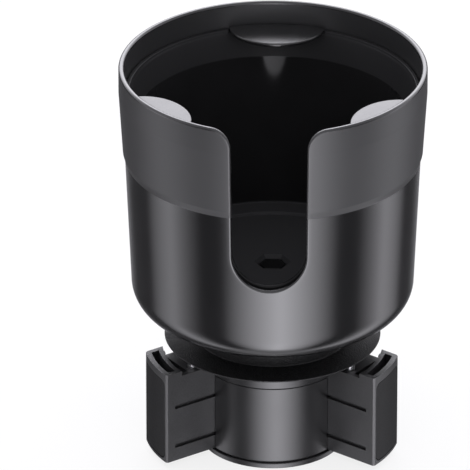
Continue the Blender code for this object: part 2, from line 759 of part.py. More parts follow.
def guide_ribs(name, face, outward, side, frame):
    """The two ribs of a cheek that reach into the foot's side grooves."""
    inward = face - outward * (GAP + GUIDE_RIB_REACH)
    anchor = face + outward * CHEEK_THICKNESS / 2
    start, end = cheek_run(face, outward, side)
    sign = "low" if outward < 0 else "high"
    ribs = []
    for number, level in enumerate(GROOVE_LEVELS):
        middle = FOOT_BASE + level
        ribs.append(block("rib_%s_%s_%d" % (sign, name, number),
                          (start + GUIDE_RIB_SETBACK, min(inward, anchor),
                           middle - GUIDE_RIB_HEIGHT / 2),
                          (end - GUIDE_RIB_SETBACK / 2, max(inward, anchor),
                           middle + GUIDE_RIB_HEIGHT / 2),
                          parent=frame))
    return ribs


def foot_outline(side):
    """Plan of a foot: the stem and the wider head with its curved face."""
    stem_low, stem_high = stem_span(side)
    head_low, head_high = head_span(side)
    back = FOOT_RADIUS - FOOT_OUTER_WALL - FOOT_SLOT - FOOT_INNER_WALL
    outline = [(FOOT_INNER_END, stem_low)]
    if head_low < stem_low:
        outline += [(on_arc(back, stem_low), stem_low), (on_arc(back, head_low), head_low)]
    outline.append((on_arc(FOOT_RADIUS, head_low) - FOOT_CORNER, head_low))
    outline += arc_between(FOOT_RADIUS, head_low + FOOT_CORNER, head_high - FOOT_CORNER, FACE_STEPS)
    outline.append((on_arc(FOOT_RADIUS, head_high) - FOOT_CORNER, head_high))
    if head_high > stem_high:
        outline += [(on_arc(back, head_high), head_high), (on_arc(back, stem_high), stem_high)]
    outline.append((FOOT_INNER_END, stem_high))
    return outline


def strip_outline(inner, outer, low, high):
    """Plan of a curved strip between two radii and two places across the foot."""
    outside = arc_between(outer, low, high, FACE_STEPS)
    return outside + arc_between(inner, high, low, FACE_STEPS)


def pad_window(name, side, margin, parent):
    """A rounded block that frames the pad, aimed at the middle of the foot's curved face."""
    low, high = head_span(side)
    left = asin(low / FOOT_RADIUS)
    right = asin(high / FOOT_RADIUS)
    half = FOOT_RADIUS * sin((right - left) / 2) - PAD_SIDE_MARGIN + margin
    bottom = FOOT_BASE + PAD_BOTTOM_MARGIN - margin
    top = FOOT_TOP - PAD_TOP_MARGIN + margin
    corner = PAD_CORNER_RADIUS
    outline = arc((half - corner, top - corner), corner, 0, 90, EDGE_STEPS)
    outline += arc((-half + corner, top - corner), corner, 90, 180, EDGE_STEPS)
    outline += arc((-half + corner, bottom + corner), corner, 180, 270, EDGE_STEPS)
    outline += arc((half - corner, bottom + corner), corner, 270, 360, EDGE_STEPS)
    aim = Matrix.Rotation((left + right) / 2, 4, "Z") @ Matrix.Rotation(pi / 2, 4, "Z")
    stand = aim @ Matrix.Rotation(pi / 2, 4, "X")
    return extruded(name, outline, FOOT_RADIUS / 2, FOOT_RADIUS + PAD_RECESS_DEPTH + 2 * OVERCUT,
                    parent=parent, turn=stand)


def build_foot(name, side, parent):
    """A foot: open-topped box with a curved slot, a web for its pin and two side grooves."""
    foot = extruded("foot_" + name, foot_outline(side), FOOT_BASE, FOOT_TOP, moulded_plastic(),
                    parent)
    head_low, head_high = head_span(side)
    stem_low, stem_high = stem_span(side)
    slot_outer = FOOT_RADIUS - FOOT_OUTER_WALL
    slot_inner = slot_outer - FOOT_SLOT
    back = slot_inner - FOOT_INNER_WALL
    floor = FOOT_BASE + FOOT_FLOOR
    above = FOOT_TOP + OVERCUT
    slot = strip_outline(slot_inner, slot_outer, head_low + FOOT_PANEL, head_high - FOOT_PANEL)
    cut(foot, extruded("curved_slot_" + name, slot, floor, above, parent=parent))
    well_low, well_high = stem_low + FOOT_PANEL, stem_high - FOOT_PANEL
    outer_well = [(WEB_END, well_low)] + arc_between(back, well_low, well_high, FACE_STEPS)
    outer_well += [(WEB_END, well_high)]
    cut(foot, extruded("outer_well_" + name, outer_well, floor, above, parent=parent))
    cut(foot, block("inner_well_" + name, (FOOT_INNER_END + FOOT_PANEL, well_low, floor),
                    (WEB_START, well_high, above), parent=parent))
    drop = [(FOOT_INNER_END - OVERCUT, stem_low - OVERCUT)]
    drop += arc_between(back - GAP, stem_low - OVERCUT, stem_high + OVERCUT, FACE_STEPS)
    drop += [(FOOT_INNER_END - OVERCUT, stem_high + OVERCUT)]
    cut(foot, extruded("stem_drop_" + name, drop, FOOT_TOP - STEM_DROP, above, parent=parent))
    cut(foot, drum("boss_notch_" + name, HUB_BOSS_RADIUS + GAP, FOOT_BASE - OVERCUT, above,
                   (FOOT_TRAVEL, 0.0), parent=parent))
    for number, level in enumerate(GROOVE_LEVELS):
        cut(foot, *side_grooves(name, number, FOOT_BASE + level, side, parent))
    pin_base = FOOT_TOP + PLATE_THICKNESS - PIN_LENGTH
    cut(foot, drum("pin_bore_" + name, PIN_RADIUS + GAP, pin_base - GAP, above,
                   (PIN_DISTANCE, foot_side(side)), parent=parent))
    recess = extruded("pad_recess_" + name,
                      strip_outline(FOOT_RADIUS - PAD_RECESS_DEPTH, FOOT_RADIUS + OVERCUT,
                                    head_low, head_high), FOOT_BASE, FOOT_TOP, parent=parent)
    combine(recess, pad_window("recess_frame_" + name, side, GAP, parent), "INTERSECT")
    cut(foot, recess)
    return rounded(foot, FOOT_EDGE_BEVEL, segments=1, limit=60.0)


def side_grooves(name, number, middle, side, parent):
    """The groove at one level on each side of the stem."""
    low, high = stem_span(side)
    grooves = []
    for sign, edge, outward in (("low", low, -1), ("high", high, 1)):
        deep = edge - outward * GROOVE_DEPTH
        clear = edge + outward * OVERCUT
        flush = head_span(side)[0] == edge or head_span(side)[1] == edge
        face = FOOT_RADIUS if flush else on_arc(FOOT_RADIUS, edge) - FOOT_OUTER_WALL * 4
        grooves.append(block("groove_%s_%s_%d" % (sign, name, number),
                             (FOOT_INNER_END - OVERCUT, min(deep, clear),
                              middle - GROOVE_HEIGHT / 2),
                             (face - GROOVE_MARGIN, max(deep, clear), middle + GROOVE_HEIGHT / 2),
                             parent=parent))
    return grooves


def build_foot_pad(name, side, parent):
    """The rubber pad in a foot's curved face."""
    low, high = head_span(side)
    inner = FOOT_RADIUS - PAD_RECESS_DEPTH + GAP
    outer = FOOT_RADIUS - PAD_EDGE_BEVEL / 2
    pad = extruded("foot_pad_" + name, strip_outline(inner, outer, low, high), FOOT_BASE,
                   FOOT_TOP, pad_rubber(), parent)
    combine(pad, pad_window("pad_frame_" + name, side, 0.0, parent), "INTERSECT")
    return pad


def build_follower_pin(name, side, parent):
    """The steel pin that stands in a foot's web and rides in the scroll plate."""
    top = FOOT_TOP + PLATE_THICKNESS
    base = top - PIN_LENGTH
    chamfer = PIN_CHAMFER
    profile = [
        (0.0, top),
        (PIN_RADIUS - chamfer, top),
        (PIN_RADIUS, top - chamfer),
        (PIN_RADIUS, base + chamfer),
        (PIN_RADIUS - chamfer, base),
        (0.0, base),
    ]
    pin = turned("follower_pin_" + name, profile, SMALL_STEPS, steel(), parent, closed=False)
    pin.location = (PIN_DISTANCE, foot_side(side), 0.0)
    return pin


def build():
    """Make the whole expander."""
    clear_scene()
    base = axis_empty("base")
    cup = axis_empty("cup_axis")
    build_hub(base)
    build_cup_shell(cup)
    build_inner_liner(cup)
    for side, angle in TAB_ANGLES.items():
        build_flex_tab(side, angle, cup)
    build_neck_disc(cup)
    build_scroll_plate(cup)
    for key, angle in SCREW_ANGLES.items():
        build_plate_screw(key, angle, cup)
    build_clamp_bolt(cup)
    build_lock_nut(cup)
    build_washer(cup)
    for name, (angle, side) in FEET.items():
        slide = axis_empty("foot_slide_" + name, angle)
        build_foot(name, side, slide)
        build_foot_pad(name, side, slide)
        build_follower_pin(name, side, slide)


build()
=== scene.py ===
"""The dressed model of a cup holder expander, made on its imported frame.

Metres, +Z up. The origin is the centre of the hub's underside and the cup's slot faces -Y.
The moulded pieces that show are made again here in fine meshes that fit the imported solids,
and the small fasteners keep their solids with finer finishes.
"""

from __future__ import annotations

import logging
from dataclasses import dataclass
from enum import Enum
from math import asin, atan2, cos, degrees, pi, radians, sin, sqrt, tan
from typing import Iterable, Sequence, Union

import bmesh
import bpy
from mathutils import Matrix, Vector


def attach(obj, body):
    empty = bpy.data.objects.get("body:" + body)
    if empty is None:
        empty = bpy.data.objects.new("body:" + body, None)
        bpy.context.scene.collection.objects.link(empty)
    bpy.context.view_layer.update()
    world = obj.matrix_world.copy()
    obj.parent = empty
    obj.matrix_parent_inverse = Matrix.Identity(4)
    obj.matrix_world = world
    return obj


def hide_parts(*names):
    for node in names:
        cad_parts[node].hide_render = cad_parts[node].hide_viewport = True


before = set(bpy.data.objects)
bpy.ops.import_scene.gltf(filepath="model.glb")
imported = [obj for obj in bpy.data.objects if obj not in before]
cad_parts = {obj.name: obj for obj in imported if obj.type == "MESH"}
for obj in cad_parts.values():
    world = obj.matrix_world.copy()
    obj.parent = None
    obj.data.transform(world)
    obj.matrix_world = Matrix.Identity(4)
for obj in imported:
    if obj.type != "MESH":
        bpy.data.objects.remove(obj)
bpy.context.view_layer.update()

log = logging.getLogger("expander")

MM = 0.001
GAP = 0.3 * MM  # the running gap between pieces
REACH = 1.0 * MM  # how far a cutter runs past what it cuts
WELD = 0.002 * MM  # points closer than this are one
TINY = 1e-9  # keeps a division from a zero
BOLT_HOLE = 2.8 * MM  # radius of the clamp bolt's hole
SCREW_CIRCLE = 15.0 * MM  # how far from the axis the plate's screws stand
SCREW_TURNS = (30.0, 150.0, 270.0)
TAB_TURNS = {"rear": 90.0, "left": 210.0, "right": 330.0}
SHARP_ANGLE = 32.0  # edges sharper than this, in degrees, stay sharp when shaded
ROUND_STEPS = 3  # faces across a rounded edge
ROUND_SHARE = 0.45  # how much of a side a corner's rounding may take
TURNED_FACETS = 192  # facets round the neck and the plate
HOLE_FACETS = 48
PIN_FACETS = 32

Flat = tuple[float, float]
Point = tuple[float, float, float]
Colour = tuple[float, float, float]
WHITE = (1.0, 1.0, 1.0, 1.0)


class Body(Enum):
    """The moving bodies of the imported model."""

    BASE = "base"
    CUP = "cup"
    REAR = "foot_rear_unit"
    LEFT = "foot_left_unit"
    RIGHT = "foot_right_unit"


class Slot(Enum):
    """The record's slots of the pieces that are made here."""

    SHELL = "shell"
    LINER = "liner"
    TAB = "tab"
    DISC = "disc"
    HUB = "hub"
    MOULDING = "moulding"
    PAD = "pad"


class Cut(Enum):
    """The ways in which one solid changes another."""

    REMOVE = "DIFFERENCE"
    ADD = "UNION"
    KEEP = "INTERSECT"


# ---- Shader maths


class Wire:
    """One socket of a shader, with maths on it written as Python."""

    def __init__(self, shading: Shading, socket: bpy.types.NodeSocket) -> None:
        """Keep the socket and the shading that it belongs to."""
        self.shading = shading
        self.socket = socket

    def maths(self, operation: str, first: Amount, second: Amount = 0.0) -> Wire:
        """Add one Math node.

        Args:
            operation: the node's operation.
            first: its first value.
            second: its second value, where it has one.

        Returns:
            The result.
        """
        return self.shading.add("ShaderNodeMath", {"operation": operation}, {0: first, 1: second})

    def __add__(self, other: Amount) -> Wire:
        """Return self + other."""
        return self.maths("ADD", self, other)

    def __radd__(self, other: Amount) -> Wire:
        """Return other + self."""
        return self.maths("ADD", other, self)

    def __sub__(self, other: Amount) -> Wire:
        """Return self - other."""
        return self.maths("SUBTRACT", self, other)

    def __rsub__(self, other: Amount) -> Wire:
        """Return other - self."""
        return self.maths("SUBTRACT", other, self)

    def __mul__(self, other: Amount) -> Wire:
        """Return self * other."""
        return self.maths("MULTIPLY", self, other)

    def __rmul__(self, other: Amount) -> Wire:
        """Return other * self."""
        return self.maths("MULTIPLY", other, self)

    def __truediv__(self, other: Amount) -> Wire:
        """Return self / other."""
        return self.maths("DIVIDE", self, other)

    def __pow__(self, other: Amount) -> Wire:
        """Return self to the power of other."""
        return self.maths("POWER", self, other)

    def above(self, floor: Amount) -> Wire:
        """Return the larger of this value and a floor."""
        return self.maths("MAXIMUM", self, floor)

    def below(self, ceiling: Amount) -> Wire:
        """Return the smaller of this value and a ceiling."""
        return self.maths("MINIMUM", self, ceiling)

    def held(self) -> Wire:
        """Return this value, held between 0 and 1."""
        return self.above(0.0).below(1.0)

    def swing(self, size: float) -> Wire:
        """Return how far a noise lies off its middle, times a size."""
        return (self - 0.5) * size

    def angle(self) -> Wire:
        """Return the arc cosine in radians."""
        return self.maths("ARCCOSINE", self.above(-1.0).below(1.0))

    def step(self, low: float, high: float) -> Wire:
        """Return a smooth step from 0 at low to 1 at high.

        Args:
            low: the value where the step begins.
            high: the value where it ends.

        Returns:
            The step, from 0 to 1.
        """
        settings = {"interpolation_type": "SMOOTHSTEP"}
        values = {0: self, 1: low, 2: high, 3: 0.0, 4: 1.0}
        return self.shading.add("ShaderNodeMapRange", settings, values)


Amount = Union[Wire, float]

# The places of a colour Mix node's sockets, whose names repeat.
MIX_SHARE, MIX_ONE, MIX_OTHER, MIX_RESULT = 0, 6, 7, 2


class Shading:
    """The node tree of one material or world, and what adds to it."""

    def __init__(self, tree: bpy.types.NodeTree) -> None:
        """Keep the tree."""
        self.tree = tree

    @classmethod
    def of_material(cls, name: str) -> Shading:
        """Start a material with a Principled shader.

        Args:
            name: the material's name.

        Returns:
            Its shading.
        """
        material = bpy.data.materials.new(name)
        material.use_nodes = True
        return cls(material.node_tree)

    def add(self, kind: str, settings: dict[str, object] | None = None,
            sockets: dict[int | str, object] | None = None,
            output: int | str = 0) -> Wire:
        """Add one node.

        Args:
            kind: the node's type.
            settings: its properties, set first.
            sockets: values or wires of its inputs, by place or by name.
            output: which of its outputs to return, by place or by name.

        Returns:
            The chosen output.
        """
        node = self.tree.nodes.new(kind)
        for key, value in (settings or {}).items():
            setattr(node, key, value)
        for key, value in (sockets or {}).items():
            self.feed(node.inputs[key], value)
        return Wire(self, node.outputs[output])

    def feed(self, socket: bpy.types.NodeSocket, value: object) -> None:
        """Give a socket what it works with.

        Args:
            socket: the socket.
            value: a wire that is linked to it, or the socket's own value.
        """
        if isinstance(value, Wire):
            self.tree.links.new(value.socket, socket)
        else:
            socket.default_value = value

    def place(self) -> Wire:
        """Return the place on the piece, in metres."""
        return self.add("ShaderNodeTexCoord", output="Object")

    def axis(self, place: Wire, which: int) -> Wire:
        """Return one coordinate of a place."""
        return self.add("ShaderNodeSeparateXYZ", {}, {0: place}, which)

    def noise(self, place: Wire, scale: float, detail: float = 2.0, roughness: float = 0.5) -> Wire:
        """Add a noise with so many cycles a metre.

        Args:
            place: where it is read.
            scale: cycles a metre.
            detail: octaves.
            roughness: how strong the finer octaves are.

        Returns:
            The noise, from 0 to 1.
        """
        values = {"Vector": place, "Scale": scale, "Detail": detail, "Roughness": roughness}
        return self.add("ShaderNodeTexNoise", {}, values)

    def fine(self, place: Wire, scale: float) -> Wire:
        """Return the noise of a fine grain."""
        return self.noise(place, scale, 2.0, 0.6)

    def cells(self, place: Wire, scale: float, feature: str = "SMOOTH_F1") -> Wire:
        """Add a cell pattern and return its distance.

        Args:
            place: where it is read.
            scale: cells a metre.
            feature: which distance the node gives.

        Returns:
            The distance.
        """
        values = {"Vector": place, "Scale": scale}
        return self.add("ShaderNodeTexVoronoi", {"feature": feature}, values)

    def blend(self, share: Amount, one: object, other: object) -> Wire:
        """Mix two colours.

        Args:
            share: how much of the second colour there is.
            one: the first colour, as a wire or four numbers.
            other: the second colour.

        Returns:
            The colour.
        """
        sockets = {MIX_SHARE: share, MIX_ONE: one, MIX_OTHER: other}
        return self.add("ShaderNodeMix", {"data_type": "RGBA"}, sockets, MIX_RESULT)

    def bump(self, height: Wire, strength: float, distance: float) -> Wire:
        """Add a Bump node.

        Args:
            height: the height, from 0 to 1.
            strength: its share.
            distance: the real height of 1, in metres.

        Returns:
            The normal.
        """
        values = {"Strength": strength, "Distance": distance, "Height": height}
        return self.add("ShaderNodeBump", {}, values)

    def principled(self, **inputs: object) -> bpy.types.Material:
        """Set the Principled shader's sockets.

        Args:
            inputs: values or wires, by the socket's name with underscores for spaces.

        Returns:
            The material.
        """
        shader = self.tree.nodes["Principled BSDF"]
        for key, value in inputs.items():
            self.feed(shader.inputs[key.replace("_", " ")], value)
        return next(m for m in bpy.data.materials if m.node_tree == self.tree)


def opaque(colour: Colour) -> tuple[float, float, float, float]:
    """Return a colour with an alpha of 1."""
    return (*colour, 1.0)


# ---- Finishes


Surface = tuple[Wire, Wire, Wire]


class Finish:
    """What every finish shares: each says its surface, and this makes the material of it."""

    name: str
    deep: Colour
    pale: Colour
    specular: float = 0.5
    metallic: float = 0.0

    def surface(self, s: Shading, place: Wire) -> Surface:
        """Work out the surface.

        Args:
            s: the material's shading.
            place: the place on the piece.

        Returns:
            The colour, the roughness and the normal.
        """
        raise NotImplementedError

    def mottled(self, s: Shading, share: Wire) -> Wire:
        """Return the finish's two colours, mixed."""
        return s.blend(share, opaque(self.deep), opaque(self.pale))

    def material(self) -> bpy.types.Material:
        """Make the material.

        Returns:
            The finished material.
        """
        s = Shading.of_material(self.name)
        tone, rough, skin = self.surface(s, s.place())
        return s.principled(Base_Color=tone, Roughness=rough, Normal=skin,
                            Metallic=self.metallic, Specular_IOR_Level=self.specular)


@dataclass(frozen=True)
class ShellPlastic(Finish):
    """The cup's black plastic: a satin collar, and a smooth body below it."""

    name: str = "cup_shell_plastic"
    deep: Colour = (0.006, 0.006, 0.0063)
    pale: Colour = (0.009, 0.009, 0.0094)
    collar_foot: float = 110.8 * MM
    rim: float = 144.7 * MM
    collar_tone: Colour = (0.014, 0.014, 0.0145)
    collar_roughness: float = 0.46
    body_roughness: float = 0.17

    def surface(self, s: Shading, place: Wire) -> Surface:
        """Work out the surface.

        Args:
            s: the material's shading.
            place: the place on the piece.

        Returns:
            The colour, the roughness and the normal.
        """
        collar = s.axis(place, 2).step(self.collar_foot, self.collar_foot + 0.9 * MM)
        cloud = s.noise(place, 55.0, 3.0)
        fine = s.fine(place, 2600.0)
        grain = s.cells(place, 5200.0)
        satin = collar * (1.0 - s.axis(place, 2).step(self.rim, self.rim + 0.5 * MM))
        rough = self.body_roughness + (self.collar_roughness - self.body_roughness) * satin
        rough = rough + cloud.swing(0.03) + fine.swing(0.03)
        skin = s.bump(grain * collar + fine * 0.06, 0.35, 0.02 * MM)
        tone = self.mottled(s, cloud * 0.7 + fine * 0.3)
        tone = s.blend(collar * (0.7 + cloud * 0.3), tone, opaque(self.collar_tone))
        return tone, rough, skin


@dataclass(frozen=True)
class SatinPlastic(Finish):
    """A black moulding with a fine even skin."""

    name: str
    deep: Colour
    pale: Colour
    roughness: float
    specular: float = 0.4
    grain_scale: float = 3200.0
    grain_height: float = 0.02 * MM
    grain_strength: float = 0.3
    contrast: float = 1.0

    def surface(self, s: Shading, place: Wire) -> Surface:
        """Work out the surface.

        Args:
            s: the material's shading.
            place: the place on the piece.

        Returns:
            The colour, the roughness and the normal.
        """
        cloud = s.noise(place, 70.0, 4.0)
        fine = s.fine(place, self.grain_scale)
        rough = self.roughness + cloud.swing(0.08) + fine.swing(0.08)
        share = 0.5 + (cloud * 0.6 + fine * 0.4 - 0.5) * self.contrast
        tone = self.mottled(s, share.held())
        skin = s.bump(fine, self.grain_strength, self.grain_height)
        return tone, rough, skin


@dataclass(frozen=True)
class LinerPlastic(Finish):
    """The liner's black plastic: a smooth wall, a greyer ring under its lip, a matt floor painted
    paler as painted light.
    """

    name: str = "liner_plastic"
    deep: Colour = (0.008, 0.008, 0.0082)
    pale: Colour = (0.014, 0.014, 0.0144)
    # the floor's paler colour is painted light, not a colour that the plastic has
    painted_floor_light: Colour = (0.036, 0.036, 0.0372)
    floor: float = 70.6 * MM
    ring: float = 127.0 * MM
    ring_tone: Colour = (0.017, 0.017, 0.0176)
    wall_roughness: float = 0.08
    floor_roughness: float = 0.4
    specular: float = 0.075

    def surface(self, s: Shading, place: Wire) -> Surface:
        """Work out the surface.

        Args:
            s: the material's shading.
            place: the place on the piece.

        Returns:
            The colour, the roughness and the normal.
        """
        ground = 1.0 - s.axis(place, 2).step(self.floor, self.floor + 0.8 * MM)
        cloud = s.noise(place, 70.0, 4.0)
        fine = s.fine(place, 3200.0)
        rough = self.wall_roughness + (self.floor_roughness - self.wall_roughness) * ground
        rough = rough + cloud.swing(0.06) + fine.swing(0.06)
        tone = self.mottled(s, cloud * 0.6 + fine * 0.4)
        # Paint the floor paler than the wall: painted light on the liner's floor.
        tone = s.blend(ground * (0.6 + fine * 0.4), tone, opaque(self.painted_floor_light))
        ring = s.axis(place, 2).step(self.ring - 0.4 * MM, self.ring + 0.4 * MM)
        tone = s.blend(ring * (0.7 + cloud * 0.3), tone, opaque(self.ring_tone))
        rough = rough + ring * 0.25
        skin = s.bump(fine * (0.15 + ground * 0.85), 0.4, 0.02 * MM)
        return tone, rough, skin


@dataclass(frozen=True)
class StippledRubber(Finish):
    """Soft rubber with a fine stipple, paler on the tips of its grain."""

    name: str
    deep: Colour
    pale: Colour
    roughness: float
    scale: float
    height: float = 0.05 * MM
    specular: float = 0.5

    def surface(self, s: Shading, place: Wire) -> Surface:
        """Work out the surface.

        Args:
            s: the material's shading.
            place: the place on the piece.

        Returns:
            The colour, the roughness and the normal.
        """
        grain = s.cells(place, self.scale)
        fine = s.fine(place, self.scale * 1.7)
        cloud = s.noise(place, 120.0, 3.0)
        tips = (1.0 - grain * 1.6).held()
        tone = self.mottled(s, tips * 0.6 + cloud * 0.4)
        rough = self.roughness + fine.swing(0.14) + cloud.swing(0.06)
        skin = s.bump(tips * 0.7 + fine * 0.3, 0.5, self.height)
        return tone, rough, skin


@dataclass(frozen=True)
class HideGrain(Finish):
    """Black plastic with the pebbled grain of leather."""

    name: str = "disc_hide_grain"
    deep: Colour = (0.003, 0.003, 0.0031)
    pale: Colour = (0.007, 0.007, 0.0073)
    scale: float = 1150.0
    bend: float = 0.9 * MM
    bend_scale: float = 700.0
    roughness: float = 0.42
    specular: float = 0.25

    def surface(self, s: Shading, place: Wire) -> Surface:
        """Work out the surface.

        Args:
            s: the material's shading.
            place: the place on the piece.

        Returns:
            The colour, the roughness and the normal.
        """
        drift = s.noise(place, 500.0, 2.0)
        push = s.add("ShaderNodeTexNoise", {}, {"Vector": place, "Scale": self.bend_scale},
                     "Color")
        bent = s.add("ShaderNodeVectorMath", {"operation": "MULTIPLY_ADD"},
                     {0: push, 1: (self.bend,) * 3, 2: place})
        crease = s.cells(bent, self.scale, "DISTANCE_TO_EDGE")
        rise = crease.step(0.02, 0.28)
        fine = s.noise(place, 6000.0, 2.0)
        tone = self.mottled(s, rise)
        rough = self.roughness + (1.0 - rise) * 0.2 + drift.swing(0.1)
        skin = s.bump(rise * 0.85 + fine * 0.15, 0.8, 0.12 * MM)
        return tone, rough, skin


@dataclass(frozen=True)
class TurnedSteel(Finish):
    """Steel with faint turning lines, zinc plated unless told otherwise."""

    name: str = "zinc_plated_steel"
    deep: Colour = (0.42, 0.42, 0.43)
    pale: Colour = (0.66, 0.66, 0.67)
    roughness: float = 0.3
    metallic: float = 1.0

    def surface(self, s: Shading, place: Wire) -> Surface:
        """Work out the surface.

        Args:
            s: the material's shading.
            place: the place on the piece.

        Returns:
            The colour, the roughness and the normal.
        """
        cloud = s.noise(place, 900.0, 4.0)
        lines = s.add("ShaderNodeTexWave", {"bands_direction": "Z"},
                      {"Vector": place, "Scale": 900.0, "Distortion": 1.5, "Detail": 2.0}, "Fac")
        tone = self.mottled(s, cloud)
        rough = self.roughness + cloud.swing(0.2)
        skin = s.bump(lines, 0.2, 0.01 * MM)
        return tone, rough, skin


# ---- Shapes


def arc(centre: Flat, radius: float, start: float, end: float, count: int) -> list[Flat]:
    """Return the points of an arc, its angles in degrees."""
    turns = [radians(start + (end - start) * i / count) for i in range(count + 1)]
    return [(centre[0] + radius * cos(a), centre[1] + radius * sin(a)) for a in turns]


def circle(centre: Flat, radius: float, count: int) -> list[Flat]:
    """Return the points of a circle."""
    return arc(centre, radius, 0, 360, count)[:-1]


def around(radius: float, angle: float) -> Flat:
    """Return the point at a radius and an angle in degrees."""
    return radius * cos(radians(angle)), radius * sin(radians(angle))


def about_axis(angle: float) -> Matrix:
    """Return the turn about the upright axis by an angle in degrees."""
    return Matrix.Rotation(radians(angle), 4, "Z")


def filleted(corners: Sequence[tuple[float, float, float]], closed: bool = True,
             steps: int = 4) -> list[Flat]:
    """Round the corners of an outline.

    Args:
        corners: x, y and the rounding radius of each corner.
        closed: whether the last corner joins the first.
        steps: points along each rounding.

    Returns:
        The outline's points.
    """
    points: list[Flat] = []
    count = len(corners)
    for i, (x, y, radius) in enumerate(corners):
        inside = closed or 0 < i < count - 1
        here = Vector((x, y))
        back = Vector(corners[i - 1][:2]) - here
        ahead = Vector(corners[(i + 1) % count][:2]) - here
        if radius <= 0.0 or not inside:
            points.append((x, y))
            continue
        half = back.angle(ahead) / 2
        run = min(radius / tan(half), ROUND_SHARE * min(back.length, ahead.length))
        back.normalize()
        ahead.normalize()
        centre = here + (back + ahead).normalized() * (run / cos(half))
        first, last = here + back * run - centre, here + ahead * run - centre
        sweep = pi - 2 * half
        for k in range(steps + 1):
            share = k / steps
            turned = (first * sin((1 - share) * sweep) + last * sin(share * sweep)) / sin(sweep)
            points.append(tuple(centre + turned))
    return points


class Skin:
    """The points and faces of a mesh while it is made, row by row."""

    def __init__(self) -> None:
        """Start empty."""
        self.points: list[Point] = []
        self.faces: list[tuple[int, ...]] = []

    def row(self, points: Iterable[Point]) -> list[int]:
        """Add a row of points.

        Args:
            points: the points.

        Returns:
            Their numbers.
        """
        first = len(self.points)
        self.points.extend(points)
        return list(range(first, len(self.points)))

    def bridge(self, one: Sequence[int], other: Sequence[int], closed: bool = True) -> None:
        """Join two rows of equal length with faces.

        Args:
            one: the numbers of the first row's points.
            other: those of the second row.
            closed: whether each row's last point joins its first.
        """
        count = len(one)
        for i in range(count if closed else count - 1):
            j = (i + 1) % count
            face = tuple(dict.fromkeys((one[i], one[j], other[j], other[i])))
            if len(face) > 2:
                self.faces.append(face)

    def piece(self, name: str, turn: Matrix | None = None) -> bpy.types.Object:
        """Make the object.

        Args:
            name: its name.
            turn: how its points are turned and moved, where they are.

        Returns:
            The new object, at the origin.
        """
        mesh = bpy.data.meshes.new(name)
        mesh.from_pydata(self.points, [], self.faces)
        if turn is not None:
            mesh.transform(turn)
        shape = bmesh.new()
        shape.from_mesh(mesh)
        bmesh.ops.remove_doubles(shape, verts=shape.verts, dist=WELD)
        bmesh.ops.recalc_face_normals(shape, faces=shape.faces)
        shape.to_mesh(mesh)
        shape.free()
        thing = bpy.data.objects.new(name, mesh)
        bpy.context.scene.collection.objects.link(thing)
        return thing


def lathe(name: str, profile: Sequence[Flat], steps: int,
          at: Flat = (0.0, 0.0)) -> bpy.types.Object:
    """Turn a closed profile of radii and heights about an upright axis.

    Args:
        name: the object's name.
        profile: radius and height of each point.
        steps: facets round the axis.
        at: where the axis stands.

    Returns:
        The new object.
    """
    skin = Skin()
    rings = []
    for radius, height in profile:
        if radius < WELD:
            rings.append(skin.row([(at[0], at[1], height)]) * steps)
            continue
        turns = [2 * pi * i / steps for i in range(steps)]
        rings.append(skin.row([(at[0] + radius * cos(a), at[1] + radius * sin(a), height)
                               for a in turns]))
    for one, other in zip(rings, rings[1:] + rings[:1]):
        skin.bridge(one, other)
    return skin.piece(name)


def prism(name: str, outline: Sequence[Flat], low: float, high: float,
          turn: Matrix | None = None) -> bpy.types.Object:
    """Raise a flat outline between two heights.

    Args:
        name: the object's name.
        outline: its points.
        low: the lower height.
        high: the upper height.
        turn: how it is turned and moved afterwards.

    Returns:
        The new object.
    """
    skin = Skin()
    bottom = skin.row([(x, y, low) for x, y in outline])
    top = skin.row([(x, y, high) for x, y in outline])
    skin.bridge(bottom, top)
    skin.faces += [tuple(reversed(bottom)), tuple(top)]
    return skin.piece(name, turn)


def block(name: str, low: Point, high: Point,
          turn: Matrix | None = None) -> bpy.types.Object:
    """Make a box.

    Args:
        name: the object's name.
        low: one corner.
        high: the corner opposite to it.
        turn: how it is turned and moved afterwards.

    Returns:
        The new object.
    """
    (x0, x1), (y0, y1), (z0, z1) = (sorted(pair) for pair in zip(low, high))
    return prism(name, [(x0, y0), (x1, y0), (x1, y1), (x0, y1)], z0, z1, turn)


def settle(piece: bpy.types.Object) -> bpy.types.Object:
    """Make a piece's modifiers part of its mesh.

    Args:
        piece: the piece.

    Returns:
        The piece.
    """
    old = piece.data
    view = bpy.context.evaluated_depsgraph_get()
    piece.data = bpy.data.meshes.new_from_object(piece.evaluated_get(view))
    piece.modifiers.clear()
    bpy.data.meshes.remove(old)
    return piece


def change(piece: bpy.types.Object, way: Cut, *tools: bpy.types.Object) -> bpy.types.Object:
    """Cut a piece with other solids, or add them, and use them up.

    Args:
        piece: the solid that changes.
        way: what is done.
        tools: the solids that do it.

    Returns:
        The piece.
    """
    for tool in tools:
        boolean = piece.modifiers.new(tool.name, "BOOLEAN")
        boolean.operation = way.value
        boolean.solver = "EXACT"
        boolean.object = tool
    settle(piece)
    for tool in tools:
        bpy.data.objects.remove(tool, do_unlink=True)
    return piece


def rounded(piece: bpy.types.Object, width: float,
            limit: float = 60.0) -> bpy.types.Object:
    """Round the sharp edges of a piece.

    Args:
        piece: the piece.
        width: the rounding.
        limit: the angle in degrees from which an edge is sharp.

    Returns:
        The piece.
    """
    bevel = piece.modifiers.new("round", "BEVEL")
    bevel.width = width
    bevel.segments = ROUND_STEPS
    bevel.limit_method = "ANGLE"
    bevel.angle_limit = radians(limit)
    bevel.miter_outer = "MITER_ARC"
    return settle(piece)


